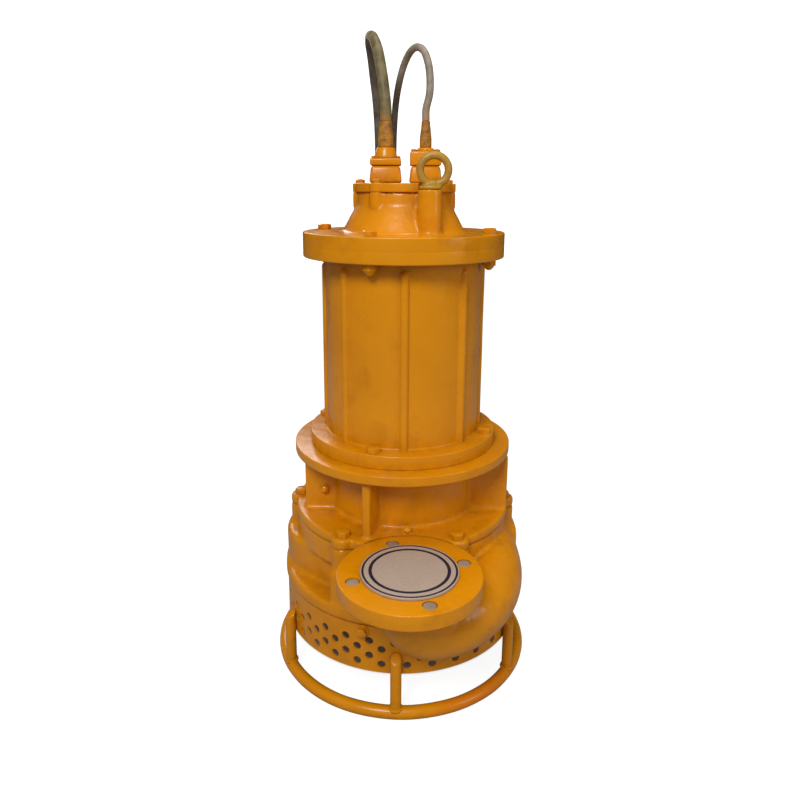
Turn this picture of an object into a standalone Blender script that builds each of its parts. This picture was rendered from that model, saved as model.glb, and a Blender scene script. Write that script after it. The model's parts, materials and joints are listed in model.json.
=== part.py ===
"""Submersible slurry pump: wet end with top discharge, seal housing, motor and two supply cables.

The pump stands upright on a welded ring stand. Its shaft runs along +Z. Units are metres.
Every height is stacked upwards from the stand, and every radius is measured from the shaft axis.
"""

import math
from math import cos, pi, radians, sin, tau

import bmesh
import bpy
from mathutils import Matrix, Vector

FIT = 0.0003  # gap between pieces that touch

# Stand: a bent tube ring with welded legs
RING_TUBE = 0.019
LEG_DIAMETER = 0.016
LEG_COUNT = 6
LEG_START = radians(-92)
LEG_TOP = 0.104

# Strainer: a perforated ring with an inward flange at its top
STRAINER_RADIUS = 0.1856
STRAINER_WALL = 0.003
STRAINER_BOTTOM = 0.0666
STRAINER_HEIGHT = 0.0714
STRAINER_FLANGE = 0.004
STRAINER_FLANGE_BORE = STRAINER_RADIUS - 0.0856
HOLE_DIAMETER = 0.012
HOLES_PER_ROW = 32
HOLE_ROWS = 4
HOLE_ROW_PITCH = 0.0117
FIRST_ROW = 0.0134  # above the strainer's lower edge

# Volute casing
CASING_RADIUS = STRAINER_RADIUS + 0.0024
CASING_FOOT = 0.0195
CASING_HEIGHT = 0.1027
VOLUTE_RADIUS = CASING_RADIUS - 0.002
VOLUTE_TOP = 0.0695  # above the casing's lower face
TONGUE_RADIUS = VOLUTE_RADIUS - 0.036
TONGUE_ANGLE = radians(-124)
TONGUE_SWEEP = radians(56)
DRUM_RADIUS = VOLUTE_RADIUS - 0.020
CHAMBER_RADIUS = VOLUTE_RADIUS - 0.098
CHAMBER_FLOOR = 0.0265
CASING_COVER = 0.009
PASSAGE_HEIGHTS = (0.0465, 0.0537)  # passage centre above the casing's lower face, tongue and horn
TONGUE_OVERLAP = 0.004  # how far the passage opens into the impeller chamber
PASSAGE_START = (0.024, 0.017)  # half width and half height at the tongue
PASSAGE_END = (0.044, 0.033)  # half width and half height where the horn begins

# Discharge branch: an elbow that ends in an upward flange, 3 inch class 150 pattern
DISCHARGE_BORE = 0.080
DISCHARGE_WALL = 0.0065
DISCHARGE_X = 0.0108
DISCHARGE_Y = -0.2327
ELBOW_DEPTH = 0.087  # elbow centreline under the flange face
ELBOW_RADIUS = 0.050
ELBOW_HEADING = radians(-154)  # level direction of the flow into the elbow
FLANGE_DIAMETER = 0.1905
FLANGE_THICKNESS = 0.021
FLANGE_ROOM = 0.0022  # gap between the discharge flange and the seal housing's flange
BOLT_CIRCLE = 0.1524
BOLT_HOLE = 0.019
BOLT_COUNT = 4
BOLT_START = radians(18)
COVER_DIAMETER = 0.129
COVER_THICKNESS = 0.003
COVER_PLUG = 0.008

# Casing bolts and their lugs
LUG_COUNT = 6
LUG_START = radians(-1)
LUG_CIRCLE = DRUM_RADIUS - 0.003
LUG_RADIUS = 0.017
LUG_PAD = 0.0012  # a lug stands this much above its flange
SPOT_FACE = 0.0004  # depth of the seat under each casing bolt's head
SPOT_RADIUS = 0.0125
SPOT_ROOM = 0.022  # clear height above the seat, where the neck stands in the way
CASING_BOLT = 0.012
TAPPED_DEPTH = 0.022

# Suction cover and wetted rotating pieces
THROAT_RADIUS = 0.040
SUCTION_COVER_RADIUS = CHAMBER_RADIUS + 0.0015
IMPELLER_RADIUS = CHAMBER_RADIUS - 0.004
IMPELLER_VANES = 4
VANE_HEIGHT = 0.036
VANE_WIDTH = 0.009
SHROUD = 0.009
RUNNING_GAP = 0.0015
AGITATOR_RADIUS = CHAMBER_RADIUS - 0.020
AGITATOR_BLADES = 4
AGITATOR_HEIGHT = 0.034
AGITATOR_HUB = 0.024
NUT_HEIGHT = 0.014
NUT_RADIUS = 0.017

# Seal housing
SEAL_HOUSING_HEIGHT = 0.1012
SEAL_FLANGE_RADIUS = DRUM_RADIUS + 0.0025
SEAL_FLANGE_THICKNESS = 0.0137
NECK_RADIUS = 0.115
NECK_WALL = 0.012
# Angle and reach of the neck's side blocks
NECK_PADS = ((0, SEAL_FLANGE_RADIUS - 0.006), (pi, SEAL_FLANGE_RADIUS - 0.0195))
NECK_PAD_WIDTH = 0.102
NECK_RIB_ANGLE = radians(-109)
NECK_RIB_WIDTH = 0.012
NECK_RIB_REACH = SEAL_FLANGE_RADIUS - 0.0115
SPIGOT_RADIUS = CHAMBER_RADIUS - 0.018
SPIGOT_DEPTH = 0.005
SEAL_FLOOR = 0.0215
SEAL_BORE = 0.030

# Shaft, from the upper end down: radius and length of each seat
SHAFT_TOP_RADIUS = 0.015
SHAFT_CORE_RADIUS = 0.024
SHAFT_BEARING_RADIUS = 0.0225
SHAFT_SEAL_RADIUS = 0.0175
SHAFT_IMPELLER_RADIUS = 0.015
SHAFT_AGITATOR_RADIUS = 0.0125
SHAFT_THREAD_RADIUS = 0.010

# Motor
TOP_FLANGE_RADIUS = 0.1495
TOP_FLANGE_THICKNESS = 0.018
MOTOR_RADIUS = TOP_FLANGE_RADIUS - 0.0325
MOTOR_BORE = MOTOR_RADIUS - 0.0115
MOTOR_FLANGE_RADIUS = MOTOR_RADIUS + 0.027
MOTOR_FLANGE_THICKNESS = 0.0196
PLATE_RADIUS = MOTOR_FLANGE_RADIUS + 0.024
PLATE_THICKNESS = 0.0143
MOTOR_HEIGHT = 0.3026
MOTOR_RIBS = 8
MOTOR_RIB_START = radians(-89)
MOTOR_RIB_RADIUS = 0.0065
STATOR_INNER = MOTOR_BORE - 0.0375
STATOR_LENGTH = 0.155
WINDING_OVERHANG = 0.036
AIR_GAP = 0.0006
LOWER_BEARING = (0.050, 0.025)  # outer radius and width
UPPER_BEARING = (0.031, 0.016)
BALLS = 7
TOP_BOLT_CIRCLE = TOP_FLANGE_RADIUS - 0.0185
TOP_BOLT_START = radians(-110)
FOOT_BOLT_CIRCLE = MOTOR_FLANGE_RADIUS - 0.013
FOOT_BOLT_START = radians(-108)
MOTOR_BOLT = 0.012
MOTOR_BOLT_COUNT = 4

# Upper cover with the terminal chamber
COVER_FLANGE = 0.018
CONE_BASE = 0.0925
CONE_TOP = 0.070
CONE_HEIGHT = 0.057
CONE_WALL = 0.009
CHAMBER_FLOOR_THICKNESS = 0.010
LID_RADIUS = 0.072
LID_THICKNESS = 0.012
LID_LOBE_CIRCLE = 0.0645
LID_LOBE_RADIUS = 0.0115
LID_LOBE_START = radians(-5)
EYE_X = 0.0409
EYE_Y = -0.078
EYE_BOSS_RADIUS = 0.017
EYE_BOSS_OFFSET = -0.005
EYE_RING_RADIUS = 0.019
EYE_SECTION = 0.0093
EYE_COLLAR_RADIUS = 0.013
EYE_COLLAR = 0.0066
EYE_SHANK = 0.010

# Cable glands
LEFT_GLAND_X = -0.0268
RIGHT_GLAND_X = 0.031
TOWER_BASE = (0.0475, 0.046)
TOWER_TOP = (0.042, 0.040)
TOWER_HEIGHT = 0.029
GLAND_PLATE = (0.045, 0.042, 0.0098)
CLAMP_HEIGHT = 0.0107
CLAMP_RADII = (0.017, 0.014)
SLEEVE_HEIGHT = 0.0370
LEFT_CABLE = 0.016
RIGHT_CABLE = 0.011
LEFT_TURNS = (3, 4, 0.112)  # turns side by side, layers, and radius at the middle of the turns
RIGHT_TURNS = (4, 4, 0.080)
COIL_EDGE = 0.35  # bevel of a coil's outer shape, in cable diameters
COIL_ENTRY = radians(20)  # angle between a cable's end and the side of its coil

# Heights of the stack
CASING_Z = STRAINER_BOTTOM + STRAINER_HEIGHT + FIT
CASING_TOP_Z = CASING_Z + CASING_HEIGHT
SEAL_Z = CASING_TOP_Z + FIT
SEAL_TOP_Z = SEAL_Z + SEAL_HOUSING_HEIGHT
PLATE_Z = SEAL_TOP_Z + FIT
PLATE_TOP_Z = PLATE_Z + PLATE_THICKNESS
MOTOR_Z = PLATE_TOP_Z + FIT
MOTOR_TOP_Z = MOTOR_Z + MOTOR_HEIGHT
COVER_Z = MOTOR_TOP_Z + FIT
COVER_FLANGE_Z = COVER_Z + COVER_FLANGE
CONE_TOP_Z = COVER_FLANGE_Z + CONE_HEIGHT
LID_Z = CONE_TOP_Z + FIT
LID_TOP_Z = LID_Z + LID_THICKNESS
TOWER_Z = LID_TOP_Z + FIT
GLAND_PLATE_Z = TOWER_Z + TOWER_HEIGHT + FIT
CLAMP_Z = GLAND_PLATE_Z + GLAND_PLATE[2] + FIT
SLEEVE_Z = CLAMP_Z + CLAMP_HEIGHT + FIT
CABLE_Z = SLEEVE_Z + SLEEVE_HEIGHT + 3 * FIT

FLANGE_Z = SEAL_Z + SEAL_FLANGE_THICKNESS
LEG_CIRCLE = STRAINER_RADIUS + FIT + LEG_DIAMETER / 2
RING_REACH = LEG_CIRCLE + RING_TUBE / 2
FLANGE_REACH = -DISCHARGE_Y + FLANGE_DIAMETER / 2
AXIS_Y = (FLANGE_REACH - RING_REACH) / 2  # the shaft stands this far behind the middle of the plan

ROUND = 32  # facets of the large turned pieces
INNER_ROUND = 16  # facets of the enclosed turned pieces


def clear_scene():
    for old in list(bpy.data.objects):
        bpy.data.objects.remove(old, do_unlink=True)


def new_collection(name):
    made = bpy.data.collections.new(name)
    bpy.context.scene.collection.children.link(made)
    return made


clear_scene()
parts = new_collection("slurry_pump")
cutters = new_collection("cutters")
axis = bpy.data.objects.new("shaft_axis", None)
axis.location = (0, AXIS_Y, 0)
parts.objects.link(axis)


def paint(name, colour, roughness, metallic):
    made = bpy.data.materials.new(name)
    made.use_nodes = True
    shader = made.node_tree.nodes["Principled BSDF"]
    shader.inputs["Base Color"].default_value = (*colour, 1)
    shader.inputs["Roughness"].default_value = roughness
    shader.inputs["Metallic"].default_value = metallic
    return made


ENAMEL = ("enamel", (0.62, 0.24, 0.006), 0.3, 0.0)
OCHRE = ("ochre_enamel", (0.36, 0.2, 0.03), 0.4, 0.0)
IRON = ("hard_iron", (0.2, 0.2, 0.2), 0.55, 0.9)
STEEL = ("bright_steel", (0.55, 0.55, 0.56), 0.3, 1.0)
CORE = ("core_steel", (0.25, 0.25, 0.27), 0.5, 0.8)
COPPER = ("winding_copper", (0.55, 0.2, 0.08), 0.35, 0.9)
CARBIDE = ("seal_face", (0.08, 0.08, 0.09), 0.2, 0.3)
RUBBER = ("cable_rubber", (0.11, 0.09, 0.05), 0.7, 0.0)
PLASTIC = ("cover_plastic", (0.45, 0.35, 0.26), 0.5, 0.0)


def add(name, mesh, at=(0, 0, 0)):
    """Put a mesh in the assembly as the piece called name."""
    made = bpy.data.objects.new(name, mesh)
    made.parent = axis
    made.location = at
    parts.objects.link(made)
    return made


def as_tool(obj):
    """Move a shape to the cutters, where it only serves other pieces."""
    parts.objects.unlink(obj)
    cutters.objects.link(obj)
    obj.hide_render = True
    obj.display_type = "WIRE"
    return obj


def boolean(obj, tool, operation):
    step = obj.modifiers.new(operation.lower() + "_" + tool.name, "BOOLEAN")
    step.operation = operation
    step.object = as_tool(tool) if tool.name in parts.objects else tool
    return obj


def cut(obj, *tools):
    for tool in tools:
        boolean(obj, tool, "DIFFERENCE")
    return obj


def join(obj, *tools):
    for tool in tools:
        boolean(obj, tool, "UNION")
    return obj


def finish(obj, look):
    """Give a piece its own material and smooth its round faces."""
    obj.data.materials.clear()
    obj.data.materials.append(paint(obj.name + "_" + look[0], *look[1:]))
    obj.data.shade_smooth()
    obj.data.set_sharp_from_angle(angle=radians(35))
    return obj


def mesh_from(build, name):
    mesh = bpy.data.meshes.new(name)
    shape = bmesh.new()
    build(shape)
    shape.to_mesh(mesh)
    shape.free()
    return mesh


def turned(name, profile, steps=ROUND, at=(0, 0, 0), closed=True):
    """Revolve (radius, height) points, listed down the outer side first, about the shape's own Z."""
    mesh = bpy.data.meshes.new(name)
    count = len(profile)
    edges = [(i, i + 1) for i in range(count - 1)]
    if closed:
        edges.append((count - 1, 0))
    mesh.from_pydata([(radius, 0, z) for radius, z in profile], edges, [])
    made = add(name, mesh, at)
    screw = made.modifiers.new("turn", "SCREW")
    screw.steps = steps
    screw.render_steps = steps
    screw.use_merge_vertices = True
    screw.merge_threshold = 0.0001
    return made


def solid_turned(name, profile, steps=ROUND, at=(0, 0, 0)):
    """Revolve points that start and end on the axis."""
    return turned(name, profile, steps, at, closed=False)


def ring(name, outer, inner, low, high, steps=INNER_ROUND, at=(0, 0, 0)):
    return turned(name, [(outer, high), (outer, low), (inner, low), (inner, high)], steps, at)


def cylinder(name, radius, low, high, sides=16, at=(0, 0), top_radius=None):
    def build(shape):
        bmesh.ops.create_cone(
            shape,
            cap_ends=True,
            segments=sides,
            radius1=radius,
            radius2=radius if top_radius is None else top_radius,
            depth=high - low,
        )

    return add(name, mesh_from(build, name), (at[0], at[1], (low + high) / 2))


def box(name, size, at, turn=0.0, top=None, bevel=0.0):
    """A block of the given size, whose top may be smaller; at is the middle of its lower face."""

    def build(shape):
        bmesh.ops.create_cube(shape, size=1)
        for vertex in shape.verts:
            width, depth = (top or size[:2]) if vertex.co.z > 0 else size[:2]
            vertex.co = (vertex.co.x * width, vertex.co.y * depth, (vertex.co.z + 0.5) * size[2])
        if bevel:
            upright = [e for e in shape.edges if abs(e.verts[0].co.z - e.verts[1].co.z) > size[2] / 2]
            bmesh.ops.bevel(shape, geom=upright, offset=bevel, segments=2, profile=0.5, affect="EDGES")

    made = add(name, mesh_from(build, name), at)
    made.rotation_euler.z = turn
    return made


def prism(name, outlines, low, high):
    """Extrude flat outlines, the first one the outside and the others holes in it."""
    curve = bpy.data.curves.new(name, "CURVE")
    curve.dimensions = "2D"
    curve.fill_mode = "BOTH"
    curve.extrude = (high - low) / 2
    for outline in outlines:
        spline = curve.splines.new("POLY")
        spline.points.add(len(outline) - 1)
        for point, (x, y) in zip(spline.points, outline):
            point.co = (x, y, 0, 1)
        spline.use_cyclic_u = True
    made = add(name, curve, (0, 0, (low + high) / 2))
    return as_mesh(made)


def as_mesh(obj):
    """Swap a curve for its closed mesh."""
    bpy.context.view_layer.update()
    evaluated = obj.evaluated_get(bpy.context.evaluated_depsgraph_get())
    mesh = bpy.data.meshes.new_from_object(evaluated)
    shape = bmesh.new()
    shape.from_mesh(mesh)
    bmesh.ops.remove_doubles(shape, verts=shape.verts, dist=0.00001)
    bmesh.ops.recalc_face_normals(shape, faces=shape.faces)
    shape.to_mesh(mesh)
    shape.free()
    name, at = obj.name, obj.location.copy()
    bpy.data.objects.remove(obj)
    mesh.name = name
    return add(name, mesh, at)


def tube(name, points, diameter, resolution=2, cyclic=False):
    """A round wire through the points."""
    curve = bpy.data.curves.new(name, "CURVE")
    curve.dimensions = "3D"
    curve.bevel_depth = diameter / 2
    curve.bevel_resolution = resolution
    curve.use_fill_caps = not cyclic
    spline = curve.splines.new("POLY")
    spline.points.add(len(points) - 1)
    for point, place in zip(spline.points, points):
        point.co = (*place, 1)
    spline.use_cyclic_u = cyclic
    return add(name, curve)


def merged(name, shapes):
    """Group separate closed shapes in one tool."""
    mesh = bpy.data.meshes.new(name)
    group = bmesh.new()
    for shape in shapes:
        start = len(group.verts)
        group.from_mesh(shape.data)
        group.verts.ensure_lookup_table()
        place = shape.matrix_basis
        bmesh.ops.transform(group, matrix=place, verts=group.verts[start:])
        bpy.data.objects.remove(shape)
    group.to_mesh(mesh)
    group.free()
    return add(name, mesh)


def bore_for(radius, sides):
    """Radius of a faceted bore that clears a round pin on every flat."""
    return (radius + FIT) / cos(pi / sides)


def around(radius, angle, z=None):
    """A point at a radius and angle about the shaft."""
    flat = (radius * cos(angle), radius * sin(angle))
    return flat if z is None else (*flat, z)


def pattern(count, start):
    return [start + tau * i / count for i in range(count)]


def loft(name, stations):
    """Skin closed sections that run from one end to the other, with flat end faces."""

    def build(shape):
        rings = [[shape.verts.new(point) for point in station] for station in stations]
        for here, there in zip(rings, rings[1:]):
            for i, vertex in enumerate(here):
                j = (i + 1) % len(here)
                shape.faces.new((vertex, here[j], there[j], there[i]))
        shape.faces.new(rings[0][::-1])
        shape.faces.new(rings[-1])

    return add(name, mesh_from(build, name))


def smooth_step(share):
    share = min(1.0, max(0.0, share))
    return share * share * (3 - 2 * share)


# Stand


def make_stand():
    centre = RING_TUBE / 2
    sides = 8
    corner = centre / cos(pi / sides)
    section = []
    for i in range(sides):
        angle = pi / 2 - pi / sides - tau * i / sides
        section.append((LEG_CIRCLE + corner * cos(angle), centre + corner * sin(angle)))
    stand = turned("base_stand", section, ROUND)
    for i, angle in enumerate(pattern(LEG_COUNT, LEG_START)):
        leg = cylinder(f"leg_{i}", LEG_DIAMETER / 2, centre, LEG_TOP, 8, around(LEG_CIRCLE, angle))
        leg.rotation_euler.z = angle
        for vertex in leg.data.vertices:
            if vertex.co.z > 0:
                vertex.co.z -= (vertex.co.x + LEG_DIAMETER / 2) * 0.9
        join(stand, leg)
    return finish(stand, ENAMEL)


# Strainer


def make_strainer(elbow_room):
    top = STRAINER_BOTTOM + STRAINER_HEIGHT
    inner = STRAINER_RADIUS - STRAINER_WALL
    facets = 2 * HOLES_PER_ROW
    profile = [
        (STRAINER_RADIUS, top),
        (STRAINER_RADIUS, STRAINER_BOTTOM),
        (inner, STRAINER_BOTTOM),
        (inner, top - STRAINER_FLANGE),
        (STRAINER_FLANGE_BORE, top - STRAINER_FLANGE),
        (STRAINER_FLANGE_BORE, top),
    ]
    strainer = turned("strainer", profile, facets)
    holes = []
    for row in range(HOLE_ROWS):
        z = STRAINER_BOTTOM + FIRST_ROW + row * HOLE_ROW_PITCH
        for i in range(HOLES_PER_ROW):
            angle = tau * (2 * i + row % 2 + 0.5) / facets
            hole = cylinder(f"hole_{row}_{i}", HOLE_DIAMETER / 2, -STRAINER_WALL, STRAINER_WALL, 6)
            hole.matrix_basis = (
                Matrix.Translation(around(STRAINER_RADIUS - STRAINER_WALL / 2, angle, z))
                @ Matrix.Rotation(angle, 4, "Z")
                @ Matrix.Rotation(pi / 2, 4, "Y")
            )
            holes.append(hole)
    cut(strainer, merged("strainer_holes", holes), elbow_room)
    return finish(strainer, ENAMEL)


# Volute passage


def level(angle):
    """A level direction."""
    return Vector((cos(angle), sin(angle), 0))


def passage_stations():
    """Centre, outward direction, upward direction, half width and half height along the flow."""
    stations = []
    up = Vector((0, 0, 1))
    bore = DISCHARGE_BORE / 2
    elbow_z = FLANGE_Z - ELBOW_DEPTH
    flow = level(ELBOW_HEADING)
    elbow_start = Vector((DISCHARGE_X, DISCHARGE_Y, elbow_z)) - flow * ELBOW_RADIUS
    spiral_end = -tau
    horn_end = math.atan2(elbow_start.y, elbow_start.x) - tau
    horn_radius = elbow_start.xy.length
    spiral_steps, horn_steps, elbow_steps = 7, 3, 4
    for i in range(spiral_steps + 1):
        share = i / spiral_steps
        angle = TONGUE_ANGLE + (spiral_end - TONGUE_ANGLE) * share
        half = [a + (b - a) * share for a, b in zip(PASSAGE_START, PASSAGE_END)]
        radius = CHAMBER_RADIUS + half[0] - TONGUE_OVERLAP
        mid = CASING_Z + PASSAGE_HEIGHTS[0] + (PASSAGE_HEIGHTS[1] - PASSAGE_HEIGHTS[0]) * share
        stations.append((level(angle) * radius + up * mid, level(angle), up, *half))
    for i in range(1, horn_steps + 1):
        share = i / (horn_steps + 1)
        soft = smooth_step(share)
        angle = spiral_end + (horn_end - spiral_end) * share
        turned_radius = radius + (horn_radius - radius) * soft
        centre = level(angle) * turned_radius + up * (mid + (elbow_z - mid) * share)
        half = [a + (bore - a) * soft for a in PASSAGE_END]
        stations.append((centre, level(angle), up, *half))
    outward = level(ELBOW_HEADING + pi / 2)
    for i in range(elbow_steps + 1):
        angle = pi / 2 * i / elbow_steps
        centre = elbow_start + flow * ELBOW_RADIUS * sin(angle) + up * ELBOW_RADIUS * (1 - cos(angle))
        upward = up * cos(angle) - flow * sin(angle)
        stations.append((centre, outward, upward, bore, bore))
    return stations


def section(station, wall, sides=12):
    centre, outward, upward, half_width, half_height = station
    points = []
    for i in range(sides):
        angle = tau * (i + 0.5) / sides
        across = outward * (half_width + wall) * cos(angle)
        points.append(centre + across + upward * (half_height + wall) * sin(angle))
    return points


def passage(name, wall, first, end_z):
    stations = passage_stations()[first:]
    sections = [section(station, wall) for station in stations]
    last = stations[-1]
    end = (Vector((last[0].x, last[0].y, end_z)), *last[1:])
    sections.append(section(end, wall))
    return loft(name, sections)


def volute_outline():
    """The casing's plan: full round, but for the hollow flank where the volute starts."""
    points = []
    count = ROUND
    for i in range(count):
        angle = tau * i / count
        turn = (TONGUE_ANGLE - angle) % tau
        radius = VOLUTE_RADIUS
        if turn < TONGUE_SWEEP:
            radius = TONGUE_RADIUS + (VOLUTE_RADIUS - TONGUE_RADIUS) * smooth_step(turn / TONGUE_SWEEP)
        points.append(around(radius, angle))
    return points


def make_casing():
    low, top = CASING_Z, CASING_TOP_Z
    shoulder = low + CHAMBER_FLOOR
    casing = solid_turned(
        "volute_casing",
        [
            (0, top),
            (DRUM_RADIUS, top),
            (DRUM_RADIUS, low + VOLUTE_TOP - 0.004),
            (TONGUE_RADIUS - 0.006, low + VOLUTE_TOP - 0.004),
            (TONGUE_RADIUS - 0.006, low + CASING_FOOT),
            (CASING_RADIUS, low + CASING_FOOT),
            (CASING_RADIUS, low),
            (0, low),
        ],
    )
    body = prism("volute_body", [volute_outline()], low + CASING_FOOT / 2, low + VOLUTE_TOP)
    horn = passage("horn", DISCHARGE_WALL, 2, FLANGE_Z - FLANGE_THICKNESS / 2)
    flange = cylinder(
        "discharge_flange",
        FLANGE_DIAMETER / 2,
        FLANGE_Z - FLANGE_THICKNESS,
        FLANGE_Z,
        ROUND,
        (DISCHARGE_X, DISCHARGE_Y),
    )
    join(casing, body, horn, flange)
    for i, angle in enumerate(pattern(LUG_COUNT, LUG_START)):
        place = around(LUG_CIRCLE, angle)
        join(casing, cylinder(f"casing_lug_{i}", LUG_RADIUS, low + VOLUTE_TOP - 0.01, top, 12, place))
    chamber = solid_turned(
        "impeller_chamber",
        [
            (0, top + 0.01),
            (SPIGOT_RADIUS + FIT, top + 0.01),
            (SPIGOT_RADIUS + FIT, top - CASING_COVER),
            (CHAMBER_RADIUS, top - CASING_COVER),
            (CHAMBER_RADIUS, shoulder),
            (SUCTION_COVER_RADIUS + FIT, shoulder),
            (SUCTION_COVER_RADIUS + FIT, low - 0.01),
            (0, low - 0.01),
        ],
    )
    bore = passage("volute_bore", 0, 0, FLANGE_Z + 0.01)
    cut(casing, chamber, bore)
    holes = []
    for i, angle in enumerate(pattern(BOLT_COUNT, BOLT_START)):
        x = DISCHARGE_X + BOLT_CIRCLE / 2 * cos(angle)
        y = DISCHARGE_Y + BOLT_CIRCLE / 2 * sin(angle)
        low_end, high_end = FLANGE_Z - 0.04, FLANGE_Z + 0.01
        holes.append(cylinder(f"flange_hole_{i}", BOLT_HOLE / 2, low_end, high_end, 12, (x, y)))
    tapped = bore_for(CASING_BOLT / 2, 8)
    for i, angle in enumerate(pattern(LUG_COUNT, LUG_START)):
        place = around(LUG_CIRCLE, angle)
        holes.append(cylinder(f"tapped_{i}", tapped, top - TAPPED_DEPTH, top + 0.01, 8, place))
    cut(casing, merged("casing_holes", holes))
    return finish(casing, ENAMEL)


def make_suction_cover():
    high = CASING_Z + CHAMBER_FLOOR - FIT
    low = CASING_Z + FIT
    cover = turned(
        "suction_cover",
        [
            (SUCTION_COVER_RADIUS, high),
            (SUCTION_COVER_RADIUS, low),
            (THROAT_RADIUS + 0.012, low),
            (THROAT_RADIUS, low + 0.010),
            (THROAT_RADIUS, high),
        ],
    )
    return finish(cover, IRON)


def make_discharge_cover():
    top = FLANGE_Z + FIT + COVER_THICKNESS
    plug = DISCHARGE_BORE / 2 - 0.003
    cover = solid_turned(
        "discharge_cover",
        [
            (0, COVER_THICKNESS),
            (COVER_DIAMETER / 2, COVER_THICKNESS),
            (COVER_DIAMETER / 2, 0),
            (plug, 0),
            (plug, -COVER_PLUG),
            (0, -COVER_PLUG),
        ],
        ROUND,
        (DISCHARGE_X, DISCHARGE_Y, top - COVER_THICKNESS),
    )
    return finish(cover, PLASTIC)


# Rotating pieces


def impeller_base():
    return CASING_Z + CHAMBER_FLOOR + RUNNING_GAP


def make_impeller():
    low = impeller_base()
    shroud_low = low + VANE_HEIGHT
    shroud_top = shroud_low + SHROUD
    hub = SHAFT_IMPELLER_RADIUS + 0.012
    bore = SHAFT_IMPELLER_RADIUS + FIT
    impeller = turned(
        "impeller",
        [
            (hub, shroud_top + 0.012),
            (hub, shroud_top),
            (IMPELLER_RADIUS, shroud_top),
            (IMPELLER_RADIUS, shroud_low),
            (hub + 0.008, shroud_low - 0.004),
            (hub, shroud_low - 0.014),
            (hub - 0.006, low + 0.002),
            (bore, low + 0.002),
            (bore, shroud_top + 0.012),
        ],
        24,
    )
    steps = 6
    for number, start in enumerate(pattern(IMPELLER_VANES, 0)):
        outline = []
        for side in (1, -1):
            run = range(steps + 1) if side == 1 else range(steps, -1, -1)
            for i in run:
                share = i / steps
                radius = hub - 0.004 + (IMPELLER_RADIUS - 0.001 - hub + 0.004) * share
                angle = start + radians(75) * share**0.8 + side * VANE_WIDTH / 2 / radius
                outline.append(around(radius, angle))
        join(impeller, prism(f"vane_{number}", [outline], low, shroud_low + SHROUD / 2))
    return finish(impeller, IRON)


def make_agitator():
    top = CASING_Z - 0.002
    low = top - AGITATOR_HEIGHT - 0.012
    bore = SHAFT_AGITATOR_RADIUS + FIT
    agitator = turned(
        "agitator",
        [
            (AGITATOR_HUB - 0.004, top),
            (AGITATOR_HUB, top - 0.006),
            (AGITATOR_HUB, low),
            (bore, low),
            (bore, top),
        ],
        INNER_ROUND,
    )
    for number, angle in enumerate(pattern(AGITATOR_BLADES, radians(20))):
        length = AGITATOR_RADIUS - AGITATOR_HUB + 0.006
        middle = (AGITATOR_RADIUS + AGITATOR_HUB - 0.006) / 2
        size, tip = (length, 0.008, AGITATOR_HEIGHT), (length * 0.8, 0.006)
        blade = box(f"blade_{number}", size, (0, 0, 0), top=tip)
        blade.matrix_basis = (
            Matrix.Rotation(angle, 4, "Z")
            @ Matrix.Translation((middle, 0, low + 0.004))
            @ Matrix.Rotation(radians(24), 4, "X")
        )
        join(agitator, blade)
    finish(agitator, IRON)
    return low


def make_nut(top):
    nut = cylinder("agitator_nut", NUT_RADIUS, top - FIT - NUT_HEIGHT, top - FIT, 6)
    cut(nut, cylinder("nut_bore", bore_for(SHAFT_THREAD_RADIUS, 12), top - 0.03, top + 0.01, 12))
    return finish(nut, STEEL)


def stator_z():
    """Lower and upper end of the stator core."""
    space_low = PLATE_TOP_Z + 0.024
    space_high = COVER_Z - UPPER_BEARING[1] - 0.004
    middle = (space_low + space_high) / 2 + 0.004
    return middle - STATOR_LENGTH / 2, middle + STATOR_LENGTH / 2


def lower_bearing_z():
    return PLATE_Z + 0.008


def upper_bearing_z():
    return COVER_Z - UPPER_BEARING[1] - FIT


def make_shaft(agitator_low):
    bearing = lower_bearing_z()
    core_low, core_top = bearing + LOWER_BEARING[1] + FIT, upper_bearing_z() - FIT
    hub_top = impeller_base() + VANE_HEIGHT + SHROUD + 0.012
    sleeve = impeller_base() - 0.001
    end = agitator_low - NUT_HEIGHT - 0.001
    top = upper_bearing_z() + UPPER_BEARING[1]
    shaft = solid_turned(
        "shaft",
        [
            (0, top),
            (SHAFT_TOP_RADIUS - 0.001, top),
            (SHAFT_TOP_RADIUS, top - 0.001),
            (SHAFT_TOP_RADIUS, core_top),
            (SHAFT_CORE_RADIUS, core_top),
            (SHAFT_CORE_RADIUS, core_low),
            (SHAFT_BEARING_RADIUS, core_low),
            (SHAFT_BEARING_RADIUS, bearing),
            (SHAFT_SEAL_RADIUS, bearing),
            (SHAFT_SEAL_RADIUS, hub_top + FIT),
            (SHAFT_IMPELLER_RADIUS, hub_top + FIT),
            (SHAFT_IMPELLER_RADIUS, sleeve),
            (SHAFT_AGITATOR_RADIUS, sleeve),
            (SHAFT_AGITATOR_RADIUS, agitator_low),
            (SHAFT_THREAD_RADIUS, agitator_low),
            (SHAFT_THREAD_RADIUS, end),
            (0, end),
        ],
        INNER_ROUND,
    )
    return finish(shaft, STEEL)


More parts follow.
